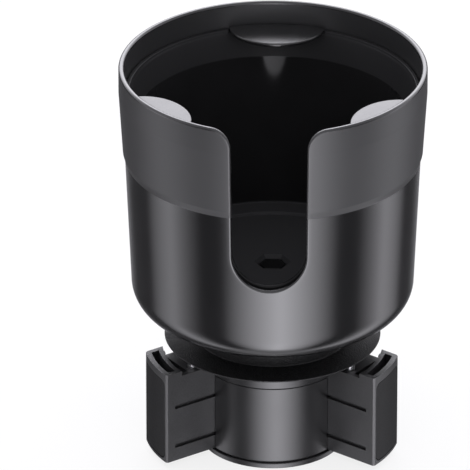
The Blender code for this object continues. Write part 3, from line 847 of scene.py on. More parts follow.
def smooth(piece: bpy.types.Object) -> bpy.types.Object:
    """Shade a piece smooth, but for its sharp edges.

    Args:
        piece: the piece.

    Returns:
        The piece.
    """
    shape = bmesh.new()
    shape.from_mesh(piece.data)
    for face in shape.faces:
        face.smooth = True
    for edge in shape.edges:
        edge.smooth = edge.is_manifold and edge.calc_face_angle(0.0) < radians(SHARP_ANGLE)
    shape.to_mesh(piece.data)
    shape.free()
    weighted = piece.modifiers.new("even_normals", "WEIGHTED_NORMAL")
    weighted.keep_sharp = True
    return piece


def hand_over(piece: bpy.types.Object, material: bpy.types.Material, body: Body, slot: Slot,
              *nodes: str) -> bpy.types.Object:
    """Dress a piece and put it in its nodes' place.

    Args:
        piece: the finished mesh.
        material: its finish.
        body: the body that it moves with.
        slot: the record's slot that it belongs to; not used.
        nodes: the solids that it stands for.

    Returns:
        The piece.
    """
    piece.data.materials.clear()
    piece.data.materials.append(material)
    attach(piece, body.value)
    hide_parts(*nodes)
    log.info("%s: %d faces, rides on %s", piece.name, len(piece.data.polygons), body.value)
    return piece


class Piece:
    """What every piece made here shares.

    Attributes:
        body: the body that it moves with.
        slot: the record's slot that it belongs to.
        node: the solid that it stands for.
    """

    body: Body = Body.CUP
    slot: Slot
    node: str

    def build(self) -> bpy.types.Object:
        """Make the piece's mesh.

        Returns:
            The new object.
        """
        raise NotImplementedError

    def dress(self, piece: bpy.types.Object, material: bpy.types.Material) -> bpy.types.Object:
        """Finish the piece and put it in its node's place."""
        return hand_over(piece, material, self.body, self.slot, self.node)

    def make(self, material: bpy.types.Material) -> bpy.types.Object:
        """Build the piece and dress it."""
        return self.dress(self.build(), material)


@dataclass
class EdgePoint:
    """One place along the edge of a slotted wall.

    Attributes:
        across: how far from the middle of the front it lies.
        height: its height.
        into: the direction in the wall's face that leads away from the slot.
        radial: 0 where the edge faces the slot, 1 where it has turned into the rim.
        round_over: rounding of the edge there.
    """

    across: float
    height: float
    into: Flat
    radial: float
    round_over: float


@dataclass
class SlottedWall:
    """A turned wall with a U-shaped slot through its front and a rounded edge all round.

    Attributes:
        outside: radius and height up the outer face, from below the slot to the top.
        inside: the same up the inner face.
        foot: the profile below the slot, from the outer face round to the inner one.
        top: height of the rim.
        slot_half: half the slot's width at its corners.
        slot_foot_half: half its width where its bend begins.
        slot_bottom: height of the slot's lowest point.
        slot_wide: height at which it has its full width.
        corner: radius of the slot's two top corners.
        slot_round: rounding of the slot's edge.
        rim_round: rounding of the rim.
        columns: facets round the wall.
        bend_steps: points along half the bend at the slot's foot.
        corner_steps: points along each top corner.
        rise: height between points up the slot's side.
        edge_steps: faces across each rounding of the edge.
    """

    outside: list[Flat]
    inside: list[Flat]
    foot: list[Flat]
    top: float
    slot_half: float
    slot_foot_half: float
    slot_bottom: float
    slot_wide: float
    corner: float
    slot_round: float
    rim_round: float
    columns: int = 240
    bend_steps: int = 22
    corner_steps: int = 12
    rise: float = 4.0 * MM
    edge_steps: int = 4

    @staticmethod
    def radius_at(profile: Sequence[Flat], height: float) -> float:
        """Find the radius of a face.

        Args:
            profile: radius and height up the face.
            height: where it is asked.

        Returns:
            The radius there.
        """
        if height <= profile[0][1]:
            return profile[0][0]
        for (r0, z0), (r1, z1) in zip(profile, profile[1:]):
            if height <= z1:
                return r0 + (r1 - r0) * (height - z0) / max(z1 - z0, TINY)
        return profile[-1][0]

    def half_at(self, height: float) -> float:
        """Find half the slot's width above its bend.

        Args:
            height: where it is asked.

        Returns:
            Half the width there.
        """
        low = self.slot_bottom + self.slot_foot_half
        share = (height - low) / (self.slot_wide - low)
        return self.slot_foot_half + (self.slot_half - self.slot_foot_half) * share

    def edge_points(self) -> list[EdgePoint]:
        """Follow the slot's edge.

        Returns:
            Its points, from the lowest one up one side to the end of the top corner.
        """
        half, corner = self.slot_foot_half, self.corner
        centre = self.slot_bottom + half
        edge = []
        for i in range(self.bend_steps + 1):
            a = radians(-90 + 90 * i / self.bend_steps)
            edge.append(EdgePoint(half * cos(a), centre + half * sin(a), (cos(a), sin(a)), 0.0,
                                  self.slot_round))
        start, end = centre, self.top - corner
        count = max(1, round((end - start) / self.rise))
        levels = {start + (end - start) * i / count for i in range(1, count + 1)}
        levels |= {z for _, z in self.outside + self.inside if start + WELD < z < end - WELD}
        for z in sorted(levels):
            edge.append(EdgePoint(self.half_at(z), z, (1.0, 0.0), 0.0, self.slot_round))
        middle = self.half_at(end) + corner
        for i in range(1, self.corner_steps + 1):
            b = radians(180 - 90 * i / self.corner_steps)
            share = i / self.corner_steps
            ease = share * share * (3 - 2 * share)
            round_over = self.slot_round + (self.rim_round - self.slot_round) * ease
            edge.append(EdgePoint(middle + corner * cos(b), end + corner * sin(b),
                                  (-cos(b), -sin(b)), ease, round_over))
        return edge

    def turn_at(self, point: EdgePoint, band: int) -> tuple[float, float, float]:
        """Place one point of the edge.

        Args:
            point: the edge's point.
            band: which point of the edge's section it is.

        Returns:
            Its turn about the axis from the front, its radius and its height.
        """
        inset, depth = self.section(point.round_over, self.thickness(point.height))[band]
        x = point.across + point.into[0] * inset
        z = point.height + point.into[1] * inset
        face = self.radius_at(self.outside, z)
        radius = face - depth
        turn = (1 - point.radial) * asin(x / radius) + point.radial * asin(x / face)
        return turn, radius, z

    def section(self, round_over: float, thickness: float) -> list[Flat]:
        """Follow the edge's section from the outer face to the inner one.

        Args:
            round_over: rounding of the edge.
            thickness: the wall's thickness.

        Returns:
            How far into the wall's face each point lies, and how far under the outer face.
        """
        steps = [radians(90 * i / self.edge_steps) for i in range(self.edge_steps + 1)]
        first = [(round_over * (1 - sin(a)), round_over * (1 - cos(a))) for a in steps]
        last = [(round_over * (1 - cos(a)), thickness - round_over * (1 - sin(a))) for a in steps]
        return first + last

    def thickness(self, height: float) -> float:
        """Return how thick the wall is at a height."""
        return self.radius_at(self.outside, height) - self.radius_at(self.inside, height)

    @staticmethod
    def spot(turn: float, radius: float, height: float) -> Point:
        """Return a point from its turn about the axis, its radius and its height."""
        return radius * sin(turn), -radius * cos(turn), height

    def build(self, name: str) -> bpy.types.Object:
        """Make the wall.

        Args:
            name: its name.

        Returns:
            The new object.
        """
        skin = Skin()
        edge = self.edge_points()
        bands = 2 * (self.edge_steps + 1)
        outer, inner = [], []
        for row_list, which in ((outer, 0), (inner, bands - 1)):
            for number, point in enumerate(edge):
                turn, radius, z = self.turn_at(point, which)
                count = self.columns if number == 0 else self.columns + 1
                span = 2 * (pi - turn) / self.columns
                row_list.append(skin.row([self.spot(turn + span * i, radius, z)
                                          for i in range(count)]))
        for rows in (outer, inner):
            skin.bridge(rows[0] + rows[0][:1], rows[1], closed=False)
            for one, other in zip(rows[1:], rows[2:]):
                skin.bridge(one, other, closed=False)
        self._edge(skin, edge, outer, inner, bands)
        rings = [outer[0]]
        for radius, height in self.foot:
            rings.append(skin.row([self.spot(2 * pi * i / self.columns, radius, height)
                                   for i in range(self.columns)]))
        rings.append(inner[0])
        for one, other in zip(rings, rings[1:]):
            skin.bridge(one, other)
        return skin.piece(name)

    def _edge(self, skin: Skin, edge: list[EdgePoint], outer: list[list[int]],
              inner: list[list[int]], bands: int) -> None:
        """Join the outer face to the inner one round the slot and the rim.

        Args:
            skin: the mesh while it is made.
            edge: the slot's edge.
            outer: the rows of points of the outer face.
            inner: those of the inner face.
            bands: how many points the edge's section has.
        """
        def loop(rows: list[list[int]]) -> list[int]:
            """Follow the border of a face.

            Args:
                rows: the face's rows of points.

            Returns:
                The border's points as one closed loop.
            """
            right = [row[0] for row in rows]
            left = [row[-1] for row in rows[:0:-1]]
            return right + rows[-1][1:-1] + left

        last = edge[-1]
        rim_turn = self.turn_at(last, 0)[0]
        span = 2 * (pi - rim_turn) / self.columns
        loops = [loop(outer)]
        for band in range(1, bands - 1):
            sides: dict[int, list[Point]] = {1: [], -1: []}
            for point in edge:
                turn, radius, z = self.turn_at(point, band)
                for sign in sides:
                    sides[sign].append(self.spot(sign * turn, radius, z))
            inset, depth = self.section(last.round_over, self.thickness(self.top))[band]
            z = self.top - inset
            radius = self.radius_at(self.outside, z) - depth
            rim = [self.spot(rim_turn + span * i, radius, z) for i in range(1, self.columns)]
            loops.append(skin.row(sides[1] + rim + sides[-1][:0:-1]))
        loops.append(loop(inner))
        for one, other in zip(loops, loops[1:]):
            skin.bridge(one, other)


# ---- The cup


@dataclass
class CupSizes:
    """Sizes that the cup's pieces share."""

    rim_radius: float = 54.0 * MM
    rim: float = 145.8 * MM
    straight_foot: float = 136.5 * MM
    collar_foot: float = 113.8 * MM
    collar_foot_radius: float = 52.6 * MM
    body_top: float = 111.2 * MM
    body_top_radius: float = 51.85 * MM
    wall: float = 2.0 * MM
    slot_half: float = 13.3 * MM
    slot_foot_half: float = 12.85 * MM
    slot_bottom: float = 83.3 * MM
    slot_wide: float = 137.8 * MM

    def inner_radius(self, height: float) -> float:
        """Find the radius of the shell's inner face in the collar.

        Args:
            height: where it is asked.

        Returns:
            The radius there.
        """
        share = (self.straight_foot - height) / (self.straight_foot - self.collar_foot)
        drop = self.rim_radius - self.collar_foot_radius
        return self.rim_radius - self.wall - drop * min(max(share, 0.0), 1.0)


@dataclass
class CupShell(Piece):
    """The outer wall with its satin collar, its slot and its rounded foot."""

    slot = Slot.SHELL
    node = "cup_shell"

    cup: CupSizes
    base: float = 52.9 * MM
    foot_radius: float = 49.8 * MM
    fillet: float = 11.0 * MM
    slot_corner: float = 7.2 * MM
    slot_round: float = 0.9 * MM
    rim_round: float = 0.77 * MM
    break_round: float = 0.8 * MM
    floor_ring: float = 22.8 * MM

    def build(self) -> bpy.types.Object:
        """Make the shell's mesh.

        Returns:
            The new object.
        """
        cup = self.cup
        centre = (self.foot_radius - self.fillet, self.base + self.fillet)
        face = filleted([
            (self.foot_radius, centre[1], 0.0),
            (cup.body_top_radius, cup.body_top, self.break_round),
            (cup.collar_foot_radius, cup.collar_foot, self.break_round),
            (cup.rim_radius, cup.straight_foot, 2 * self.break_round),
            (cup.rim_radius, cup.rim, 0.0),
        ], closed=False)
        inside = [(radius - cup.wall, height) for radius, height in face]
        floor = self.base + cup.wall
        foot = arc(centre, self.fillet, 0, -90, 16)
        foot += [(self.floor_ring, self.base), (BOLT_HOLE, self.base), (BOLT_HOLE, floor),
                 (self.floor_ring, floor)]
        foot += arc(centre, self.fillet - cup.wall, -90, 0, 10)
        wall = SlottedWall(face, inside, foot, cup.rim, cup.slot_half, cup.slot_foot_half,
                           cup.slot_bottom, cup.slot_wide, self.slot_corner, self.slot_round,
                           self.rim_round)
        return smooth(wall.build("shell_wall"))


@dataclass
class InnerLiner(Piece):
    """The inner wall with its lip, its raised floor, its mat seat and the bolt's recess."""

    slot = Slot.LINER
    node = "inner_liner"

    cup: CupSizes
    top: float = 136.8 * MM
    lip_thickness: float = 2.3 * MM
    lip_width: float = 1.5 * MM
    wall: float = 1.6 * MM
    ring_foot: float = 127.0 * MM
    ring_foot_radius: float = 47.0 * MM
    foot_radius: float = 44.4 * MM
    floor: float = 70.4 * MM
    floor_thickness: float = 3.0 * MM
    fillet: float = 0.4 * MM
    mat_radius: float = 36.4 * MM
    mat_seat: float = 69.4 * MM
    boss_radius: float = 8.5 * MM
    hex_flats: float = 9.0 * MM
    hex_seat: float = 64.4 * MM
    countersink: float = 1.3 * MM
    shell_floor: float = 55.2 * MM
    small_round: float = 0.35 * MM
    seat_ring: float = 9.0 * MM
    seat_round: float = 0.2 * MM
    seat_slope: float = 0.7 * MM
    floor_round: float = 0.8 * MM
    slot_corner: float = 1.2 * MM
    slot_round: float = 0.7 * MM
    tab_seat: float = 135.9 * MM
    tab_half: float = 17.1 * MM

    def build(self) -> bpy.types.Object:
        """Make the liner's mesh.

        Returns:
            The new object.
        """
        cup = self.cup
        lip = cup.inner_radius(self.top - self.lip_thickness) - GAP
        wall_foot = self.floor + self.fillet
        small = self.small_round
        outside = filleted([
            (self.foot_radius + self.wall, wall_foot, 0.0),
            (self.ring_foot_radius + self.wall, self.ring_foot - self.wall, small),
            (lip, self.top - self.lip_thickness, small),
            (lip, self.top, 0.0),
        ], closed=False)
        inside = filleted([
            (self.foot_radius, wall_foot, 0.0),
            (self.ring_foot_radius, self.ring_foot, 2 * small),
            (lip - self.lip_width, self.top, 0.0),
        ], closed=False)
        centre = (self.foot_radius - self.fillet, wall_foot)
        under = self.floor - self.floor_thickness
        foot = arc(centre, self.fillet + self.wall, 0, -60, 5)
        foot += [
            (centre[0], under), (self.boss_radius, under), (self.boss_radius, self.shell_floor),
            (BOLT_HOLE, self.shell_floor), (BOLT_HOLE, self.mat_seat),
        ]
        foot += filleted([
            (self.seat_ring, self.mat_seat, 0.0),
            (self.mat_radius, self.mat_seat, self.seat_round),
            (self.mat_radius + self.seat_slope, self.floor, self.floor_round),
            (centre[0], self.floor, 0.0),
        ], closed=False)
        foot += arc(centre, self.fillet, -90, 0, 8)
        wall = SlottedWall(outside, inside, foot, self.top, cup.slot_half, cup.slot_foot_half,
                           cup.slot_bottom, cup.slot_wide, self.slot_corner, self.slot_round,
                           small, corner_steps=5)
        liner = wall.build("liner_wall")
        corner = self.hex_flats / 2 / cos(radians(30))
        wide, above = corner + self.countersink, self.floor + REACH
        tools = [lathe("recess", [
            (0.0, self.hex_seat), (corner, self.hex_seat),
            (corner, self.mat_seat - self.countersink), (wide, self.mat_seat), (wide, above),
            (0.0, above)], 6)]
        for turn in TAB_TURNS.values():
            tools.append(block("tab_seat", (cup.rim_radius / 2, -self.tab_half, self.tab_seat),
                               (cup.rim_radius, self.tab_half, self.top + REACH),
                               about_axis(turn)))
        return smooth(change(liner, Cut.REMOVE, *tools))


@dataclass
class FlexTab(Piece):
    """A soft half-moon in its seat on the liner's lip."""

    slot = Slot.TAB

    cup: CupSizes
    side: str
    turn: float
    half_width: float = 16.8 * MM
    tip_radius: float = 34.7 * MM
    base: float = 136.2 * MM
    thickness: float = 1.5 * MM
    edge: float = 0.5 * MM
    tip_steps: int = 72

    @property
    def node(self) -> str:
        """Return the node that the tab stands for."""
        return f"flex_tab_{self.side}"

    def build(self) -> bpy.types.Object:
        """Make the tab's mesh.

        Returns:
            The new object.
        """
        root = self.cup.rim_radius - self.cup.wall - GAP
        chord = sqrt(root ** 2 - self.half_width ** 2)
        spread = degrees(asin(self.half_width / root))
        outline = arc((0.0, 0.0), root, -spread, spread, 32)
        reach = chord - self.tip_radius
        for i in range(1, self.tip_steps):
            a = pi / 2 + pi * i / self.tip_steps
            outline.append((chord + reach * cos(a), self.half_width * sin(a)))
        top = self.base + self.thickness
        tab = rounded(prism("tab", outline, self.base, top), self.edge, limit=50.0)
        tab.data.transform(about_axis(self.turn))
        tab.name = f"soft_tab_{self.side}"
        return smooth(tab)


@dataclass
class NeckDisc(Piece):
    """The neck under the cup and its disc, one moulding with a grained skin."""

    slot = Slot.DISC
    node = "neck_disc"

    neck_radius: float = 27.3 * MM
    neck_wall: float = 2.4 * MM
    neck_top: float = 52.6 * MM
    disc_radius: float = 38.2 * MM
    disc_top: float = 41.65 * MM
    disc_base: float = 40.0 * MM
    lip_base: float = 41.2 * MM
    lip_reach: float = 2.6 * MM
    boss_radius: float = 7.0 * MM
    screw_boss: float = 3.4 * MM
    screw_boss_top: float = 47.2 * MM

    def build(self) -> bpy.types.Object:
        """Make the neck's and disc's mesh.

        Returns:
            The new object.
        """
        inner = self.neck_radius - self.neck_wall
        edge = (self.disc_top - self.disc_base) / 2
        profile = filleted([
            (inner, self.neck_top, 0.2 * MM), (self.neck_radius, self.neck_top, 0.3 * MM),
            (self.neck_radius, self.disc_top, 0.4 * MM),
            (self.disc_radius, self.disc_top, 0.4 * MM),
            (self.disc_radius, self.lip_base, 0.15 * MM),
            (self.disc_radius - self.lip_reach, self.disc_base, 0.3 * MM),
            (BOLT_HOLE, self.disc_base, 0.0), (BOLT_HOLE, self.neck_top, 0.0),
            (self.boss_radius, self.neck_top, 0.0), (self.boss_radius, self.disc_top, 0.0),
            (inner, self.disc_top, 0.0),
        ])
        neck = lathe("neck_and_disc", profile, TURNED_FACETS)
        bosses = [prism("boss", circle(around(SCREW_CIRCLE, turn), self.screw_boss, PIN_FACETS),
                        self.disc_top - edge, self.screw_boss_top) for turn in SCREW_TURNS]
        return smooth(change(neck, Cut.ADD, *bosses))


# ---- The base


@dataclass
class FootPlan:
    """Sizes that the hub's channels, the feet and the pads share, along a foot slid out."""

    hub_radius: float = 24.8 * MM
    hub_wall: float = 3.0 * MM
    boss_radius: float = 6.6 * MM
    flange: float = 2.1 * MM
    base: float = 2.4 * MM
    top: float = 37.2 * MM
    travel: float = 11.0 * MM
    outer: float = 45.4 * MM
    inner_end: float = 16.0 * MM
    stem: float = 16.5 * MM
    head: float = 19.6 * MM
    outer_wall: float = 1.9 * MM
    slot: float = 2.9 * MM
    inner_wall: float = 1.6 * MM
    groove_levels: tuple[float, ...] = (8.2 * MM, 23.6 * MM)
    pin_at: float = 32.0 * MM
    pin_side: float = 3.6 * MM

    @property
    def back(self) -> float:
        """Radius of the back of the inner wall."""
        return self.outer - self.outer_wall - self.slot - self.inner_wall

    def stem_span(self, side: int) -> Flat:
        """Return the stem's lowest and highest place across the foot."""
        return (side - 1) * self.stem / 2, (side + 1) * self.stem / 2

    def head_span(self, side: int) -> Flat:
        """Return the head's lowest and highest place across the foot."""
        return (side - 1) * self.head / 2, (side + 1) * self.head / 2

    @staticmethod
    def along(radius: float, across: float) -> float:
        """Return how far along the foot an arc about the hub's axis lies."""
        return sqrt(radius ** 2 - across ** 2)

    @staticmethod
    def sweep(radius: float, start: float, end: float, count: int = 28) -> list[Flat]:
        """Return an arc about the hub's axis between two places across the foot."""
        return arc((0.0, 0.0), radius, degrees(asin(start / radius)), degrees(asin(end / radius)),
                   count)

    def strip(self, inner: float, outer: float, low: float, high: float) -> list[Flat]:
        """Return the plan of a curved strip between two radii."""
        return self.sweep(outer, low, high) + self.sweep(inner, high, low)


FOOT_TURNS = {"rear": (90.0, 0), "left": (216.4, -1), "right": (323.6, 1)}
FOOT_BODIES = {"rear": Body.REAR, "left": Body.LEFT, "right": Body.RIGHT}


@dataclass
class Hub(Piece):
    """The round base: its flange, its wall, its bolt boss and the feet's channels."""

    body = Body.BASE
    slot = Slot.HUB
    node = "hub_housing"

    plan: FootPlan
    flange_radius: float = 25.4 * MM
    groove_height: float = 0.5 * MM
    groove_depth: float = 0.4 * MM
    shoulder: float = 31.2 * MM
    shoulder_line: float = 0.3 * MM
    shoulder_inset: float = 0.14 * MM
    pocket_radius: float = 5.0 * MM
    pocket_top: float = 6.2 * MM
    cheek: float = 1.6 * MM
    rib_height: float = 0.6 * MM
    rib_reach: float = 0.5 * MM
    facets: int = 160

    def profile(self) -> list[Flat]:
        """Draw half the hub's section.

        Returns:
            Radius and height of its points.
        """
        plan = self.plan
        wall_inner = plan.hub_radius - plan.hub_wall
        collar = plan.hub_radius - self.shoulder_inset
        groove = plan.hub_radius - self.groove_depth
        lip = plan.flange + self.groove_height
        return filleted([
            (collar, plan.top, 0.5 * MM), (collar, self.shoulder + self.shoulder_line, 0.1 * MM),
            (collar - self.shoulder_line / 2, self.shoulder + self.shoulder_line / 2, 0.04 * MM),
            (plan.hub_radius, self.shoulder, 0.2 * MM), (plan.hub_radius, lip, 0.25 * MM),
            (groove, lip, 0.0), (groove, plan.flange, 0.0),
            (self.flange_radius, plan.flange, 0.5 * MM), (self.flange_radius, 0.0, 0.5 * MM),
            (self.pocket_radius, 0.0, 0.3 * MM), (self.pocket_radius, self.pocket_top, 0.0),
            (BOLT_HOLE, self.pocket_top, 0.0), (BOLT_HOLE, plan.top, 0.2 * MM),
            (plan.boss_radius, plan.top, 0.2 * MM), (plan.boss_radius, plan.flange, 0.0),
            (wall_inner, plan.flange, 0.0), (wall_inner, plan.top, 0.3 * MM),
        ])

    def cheek_run(self, face: float, outward: int, side: int) -> Flat:
        """Find where a cheek begins and ends along the foot.

        Args:
            face: where across the foot the cheek's face lies.
            outward: 1 or -1, the way from the foot to the cheek.
            side: the foot's side.

        Returns:
            Its start and its end.
        """
        far = face + outward * self.cheek
        end = self.plan.along(self.plan.hub_radius - self.plan.hub_wall / 3, far)
        if side == 0:
            return abs(far) - self.cheek, end
        if side * outward < 0:
            return self.plan.boss_radius - self.cheek / 2, end
        return self.cheek * 2, end

    def build(self) -> bpy.types.Object:
        """Make the hub's mesh.

        Returns:
            The new object.
        """
        plan = self.plan
        hub = lathe("hub_wall", self.profile(), self.facets)
        wall_inner = plan.hub_radius - plan.hub_wall
        ribs = []
        for turn, side in FOOT_TURNS.values():
            aim = about_axis(turn)
            low, high = plan.stem_span(side)
            cheeks = []
            for edge, outward in ((low, -1), (high, 1)):
                face = edge + outward * GAP
                far = face + outward * self.cheek
                start, end = self.cheek_run(face, outward, side)
                cheeks.append(block("cheek", (start, face, plan.flange / 2),
                                    (end, far, plan.top), aim))
                inward = face - outward * (GAP + self.rib_reach)
                anchor = face + outward * self.cheek / 2
                for level in plan.groove_levels:
                    ribs.append(block(
                        "rib", (start + REACH, inward, level - self.rib_height / 2),
                        (end - REACH / 2, anchor, level + self.rib_height / 2), aim))
            change(hub, Cut.ADD, *cheeks)
            window = block("window", (wall_inner / 2, low - GAP, plan.flange),
                           (self.flange_radius + REACH, high + GAP, plan.top + REACH), aim)
            change(hub, Cut.REMOVE, window)
        return smooth(change(hub, Cut.ADD, *ribs))


@dataclass
class FootPiece(Piece):
    """A piece that slides with one of the three feet.

    Attributes:
        plan: the sizes that the feet share.
        name: which foot it belongs to.
        turn: the foot's direction in degrees.
        side: 1 or -1 where the foot lies beside its line, 0 where it lies on it.
    """

    plan: FootPlan
    name: str
    turn: float
    side: int

    @property
    def body(self) -> Body:
        """Return the body that slides with the foot."""
        return FOOT_BODIES[self.name]

    def placed(self, piece: bpy.types.Object, prefix: str) -> bpy.types.Object:
        """Turn a piece to its foot's direction, name it and shade it.

        Args:
            piece: the piece, made along +X.
            prefix: the first words of its name.

        Returns:
            The piece.
        """
        piece.data.transform(about_axis(self.turn))
        piece.name = f"{prefix}_{self.name}"
        return smooth(piece)


@dataclass
class Foot(FootPiece):
    """A sliding foot: an open box with a curved slot, a web for its pin and side grooves."""

    slot = Slot.MOULDING

    panel: float = 1.8 * MM
    floor: float = 3.0 * MM
    corner: float = 0.6 * MM
    edge: float = 0.45 * MM
    web_start: float = 28.9 * MM
    web_end: float = 35.2 * MM
    stem_top: float = 35.4 * MM
    groove_height: float = 1.5 * MM
    groove_depth: float = 1.2 * MM
    groove_margin: float = 3.6 * MM
    pin_radius: float = 1.9 * MM
    pin_base: float = 28.7 * MM
    pad_depth: float = 0.9 * MM
    pad_gap: float = 0.3 * MM

    @property
    def node(self) -> str:
        """Return the node that the foot stands for."""
        return f"foot_{self.name}"

    def outline(self) -> list[Flat]:
        """Draw the foot's plan: its stem and the wider head with its curved face.

        Returns:
            The plan's points.
        """
        plan = self.plan
        stem_low, stem_high = plan.stem_span(self.side)
        head_low, head_high = plan.head_span(self.side)
        points = [(plan.inner_end, stem_low)]
        if head_low < stem_low:
            points += [(plan.along(plan.back, stem_low), stem_low),
                       (plan.along(plan.back, head_low), head_low)]
        points.append((plan.along(plan.outer, head_low) - self.corner, head_low))
        points += plan.sweep(plan.outer, head_low + self.corner, head_high - self.corner)
        points.append((plan.along(plan.outer, head_high) - self.corner, head_high))
        if head_high > stem_high:
            points += [(plan.along(plan.back, head_high), head_high),
                       (plan.along(plan.back, stem_high), stem_high)]
        points.append((plan.inner_end, stem_high))
        return points

    def grooves(self) -> list[bpy.types.Object]:
        """Make the cutters of the side grooves.

        Returns:
            The cutters.
        """
        plan = self.plan
        low, high = plan.stem_span(self.side)
        tools = []
        for edge, outward in ((low, -1), (high, 1)):
            deep = edge - outward * self.groove_depth
            clear = edge + outward * REACH
            flush = edge in plan.head_span(self.side)
            face = plan.outer if flush else plan.along(plan.outer, edge) - plan.outer_wall * 4
            for level in plan.groove_levels:
                tools.append(block(
                    "groove", (plan.inner_end - REACH, deep, level - self.groove_height / 2),
                    (face - self.groove_margin, clear, level + self.groove_height / 2)))
        return tools

    def build(self) -> bpy.types.Object:
        """Make the foot's mesh.

        Returns:
            The new object.
        """
        plan = self.plan
        foot = prism("foot", self.outline(), plan.base, plan.top)
        head_low, head_high = plan.head_span(self.side)
        stem_low, stem_high = plan.stem_span(self.side)
        slot_outer = plan.outer - plan.outer_wall
        slot_inner = slot_outer - plan.slot
        floor = plan.base + self.floor
        above = plan.top + REACH
        low, high = stem_low + self.panel, stem_high - self.panel
        well = [(self.web_end, low)] + plan.sweep(plan.back, low, high) + [(self.web_end, high)]
        drop = [(plan.inner_end - REACH, stem_low - REACH)]
        drop += plan.sweep(plan.back - GAP, stem_low - REACH, stem_high + REACH)
        drop += [(plan.inner_end - REACH, stem_high + REACH)]
        tools = [
            prism("slot", plan.strip(slot_inner, slot_outer, head_low + self.panel,
                                     head_high - self.panel), floor, above),
            prism("well", well, floor, above),
            block("inner_well", (plan.inner_end + self.panel, low, floor),
                  (self.web_start, high, above)),
            prism("drop", drop, self.stem_top, above),
            prism("notch", circle((plan.travel, 0.0), plan.boss_radius + GAP, HOLE_FACETS),
                  plan.base - REACH, above),
            prism("pin_bore", circle((plan.pin_at, self.side * plan.pin_side),
                                     self.pin_radius, PIN_FACETS), self.pin_base, above),
        ]
        change(foot, Cut.REMOVE, *tools, *self.grooves())
        recess = Pad(plan, self.name, self.turn, self.side).solid(
            plan.outer - self.pad_depth, plan.outer + REACH, self.pad_gap)
        change(foot, Cut.REMOVE, recess)
        return self.placed(rounded(foot, self.edge), "sliding_foot")


@dataclass
class Pad(FootPiece):
    """The rubber pad let into a foot's curved face."""

    slot = Slot.PAD

    side_margin: float = 1.5 * MM
    top_margin: float = 3.0 * MM
    bottom_margin: float = 1.2 * MM
    corner: float = 2.4 * MM
    seat: float = 0.6 * MM
    edge: float = 0.2 * MM
    corner_steps: int = 10

    @property
    def node(self) -> str:
        """Return the node that the pad stands for."""
        return f"foot_pad_{self.name}"

    def solid(self, inner: float, outer: float, margin: float) -> bpy.types.Object:
        """Make the pad's shape between two radii.

        Args:
            inner: the smaller radius.
            outer: the larger one.
            margin: how much it is grown all round.

        Returns:
            The shape, along +X.
        """
        plan = self.plan
        low, high = plan.head_span(self.side)
        left, right = asin(low / plan.outer), asin(high / plan.outer)
        half = plan.outer * sin((right - left) / 2) - self.side_margin + margin
        bottom = plan.base + self.bottom_margin - margin
        top = plan.top - self.top_margin + margin
        window = filleted([(half, top, self.corner), (-half, top, self.corner),
                           (-half, bottom, self.corner), (half, bottom, self.corner)],
                          steps=self.corner_steps)
        aim = Matrix.Rotation((left + right + pi) / 2, 4, "Z")
        stand = aim @ Matrix.Rotation(pi / 2, 4, "X")
        strip = prism("strip", plan.strip(inner, outer, low, high), plan.base, plan.top)
        window_solid = prism("window", window, plan.outer / 2, plan.outer + 3 * REACH, stand)
        return change(strip, Cut.KEEP, window_solid)

    def build(self) -> bpy.types.Object:
        """Make the pad's mesh.

        Returns:
            The new object.
        """
        plan = self.plan
        pad = self.solid(plan.outer - self.seat, plan.outer - self.edge / 2, 0.0)
        return self.placed(rounded(pad, self.edge), "rubber_pad")


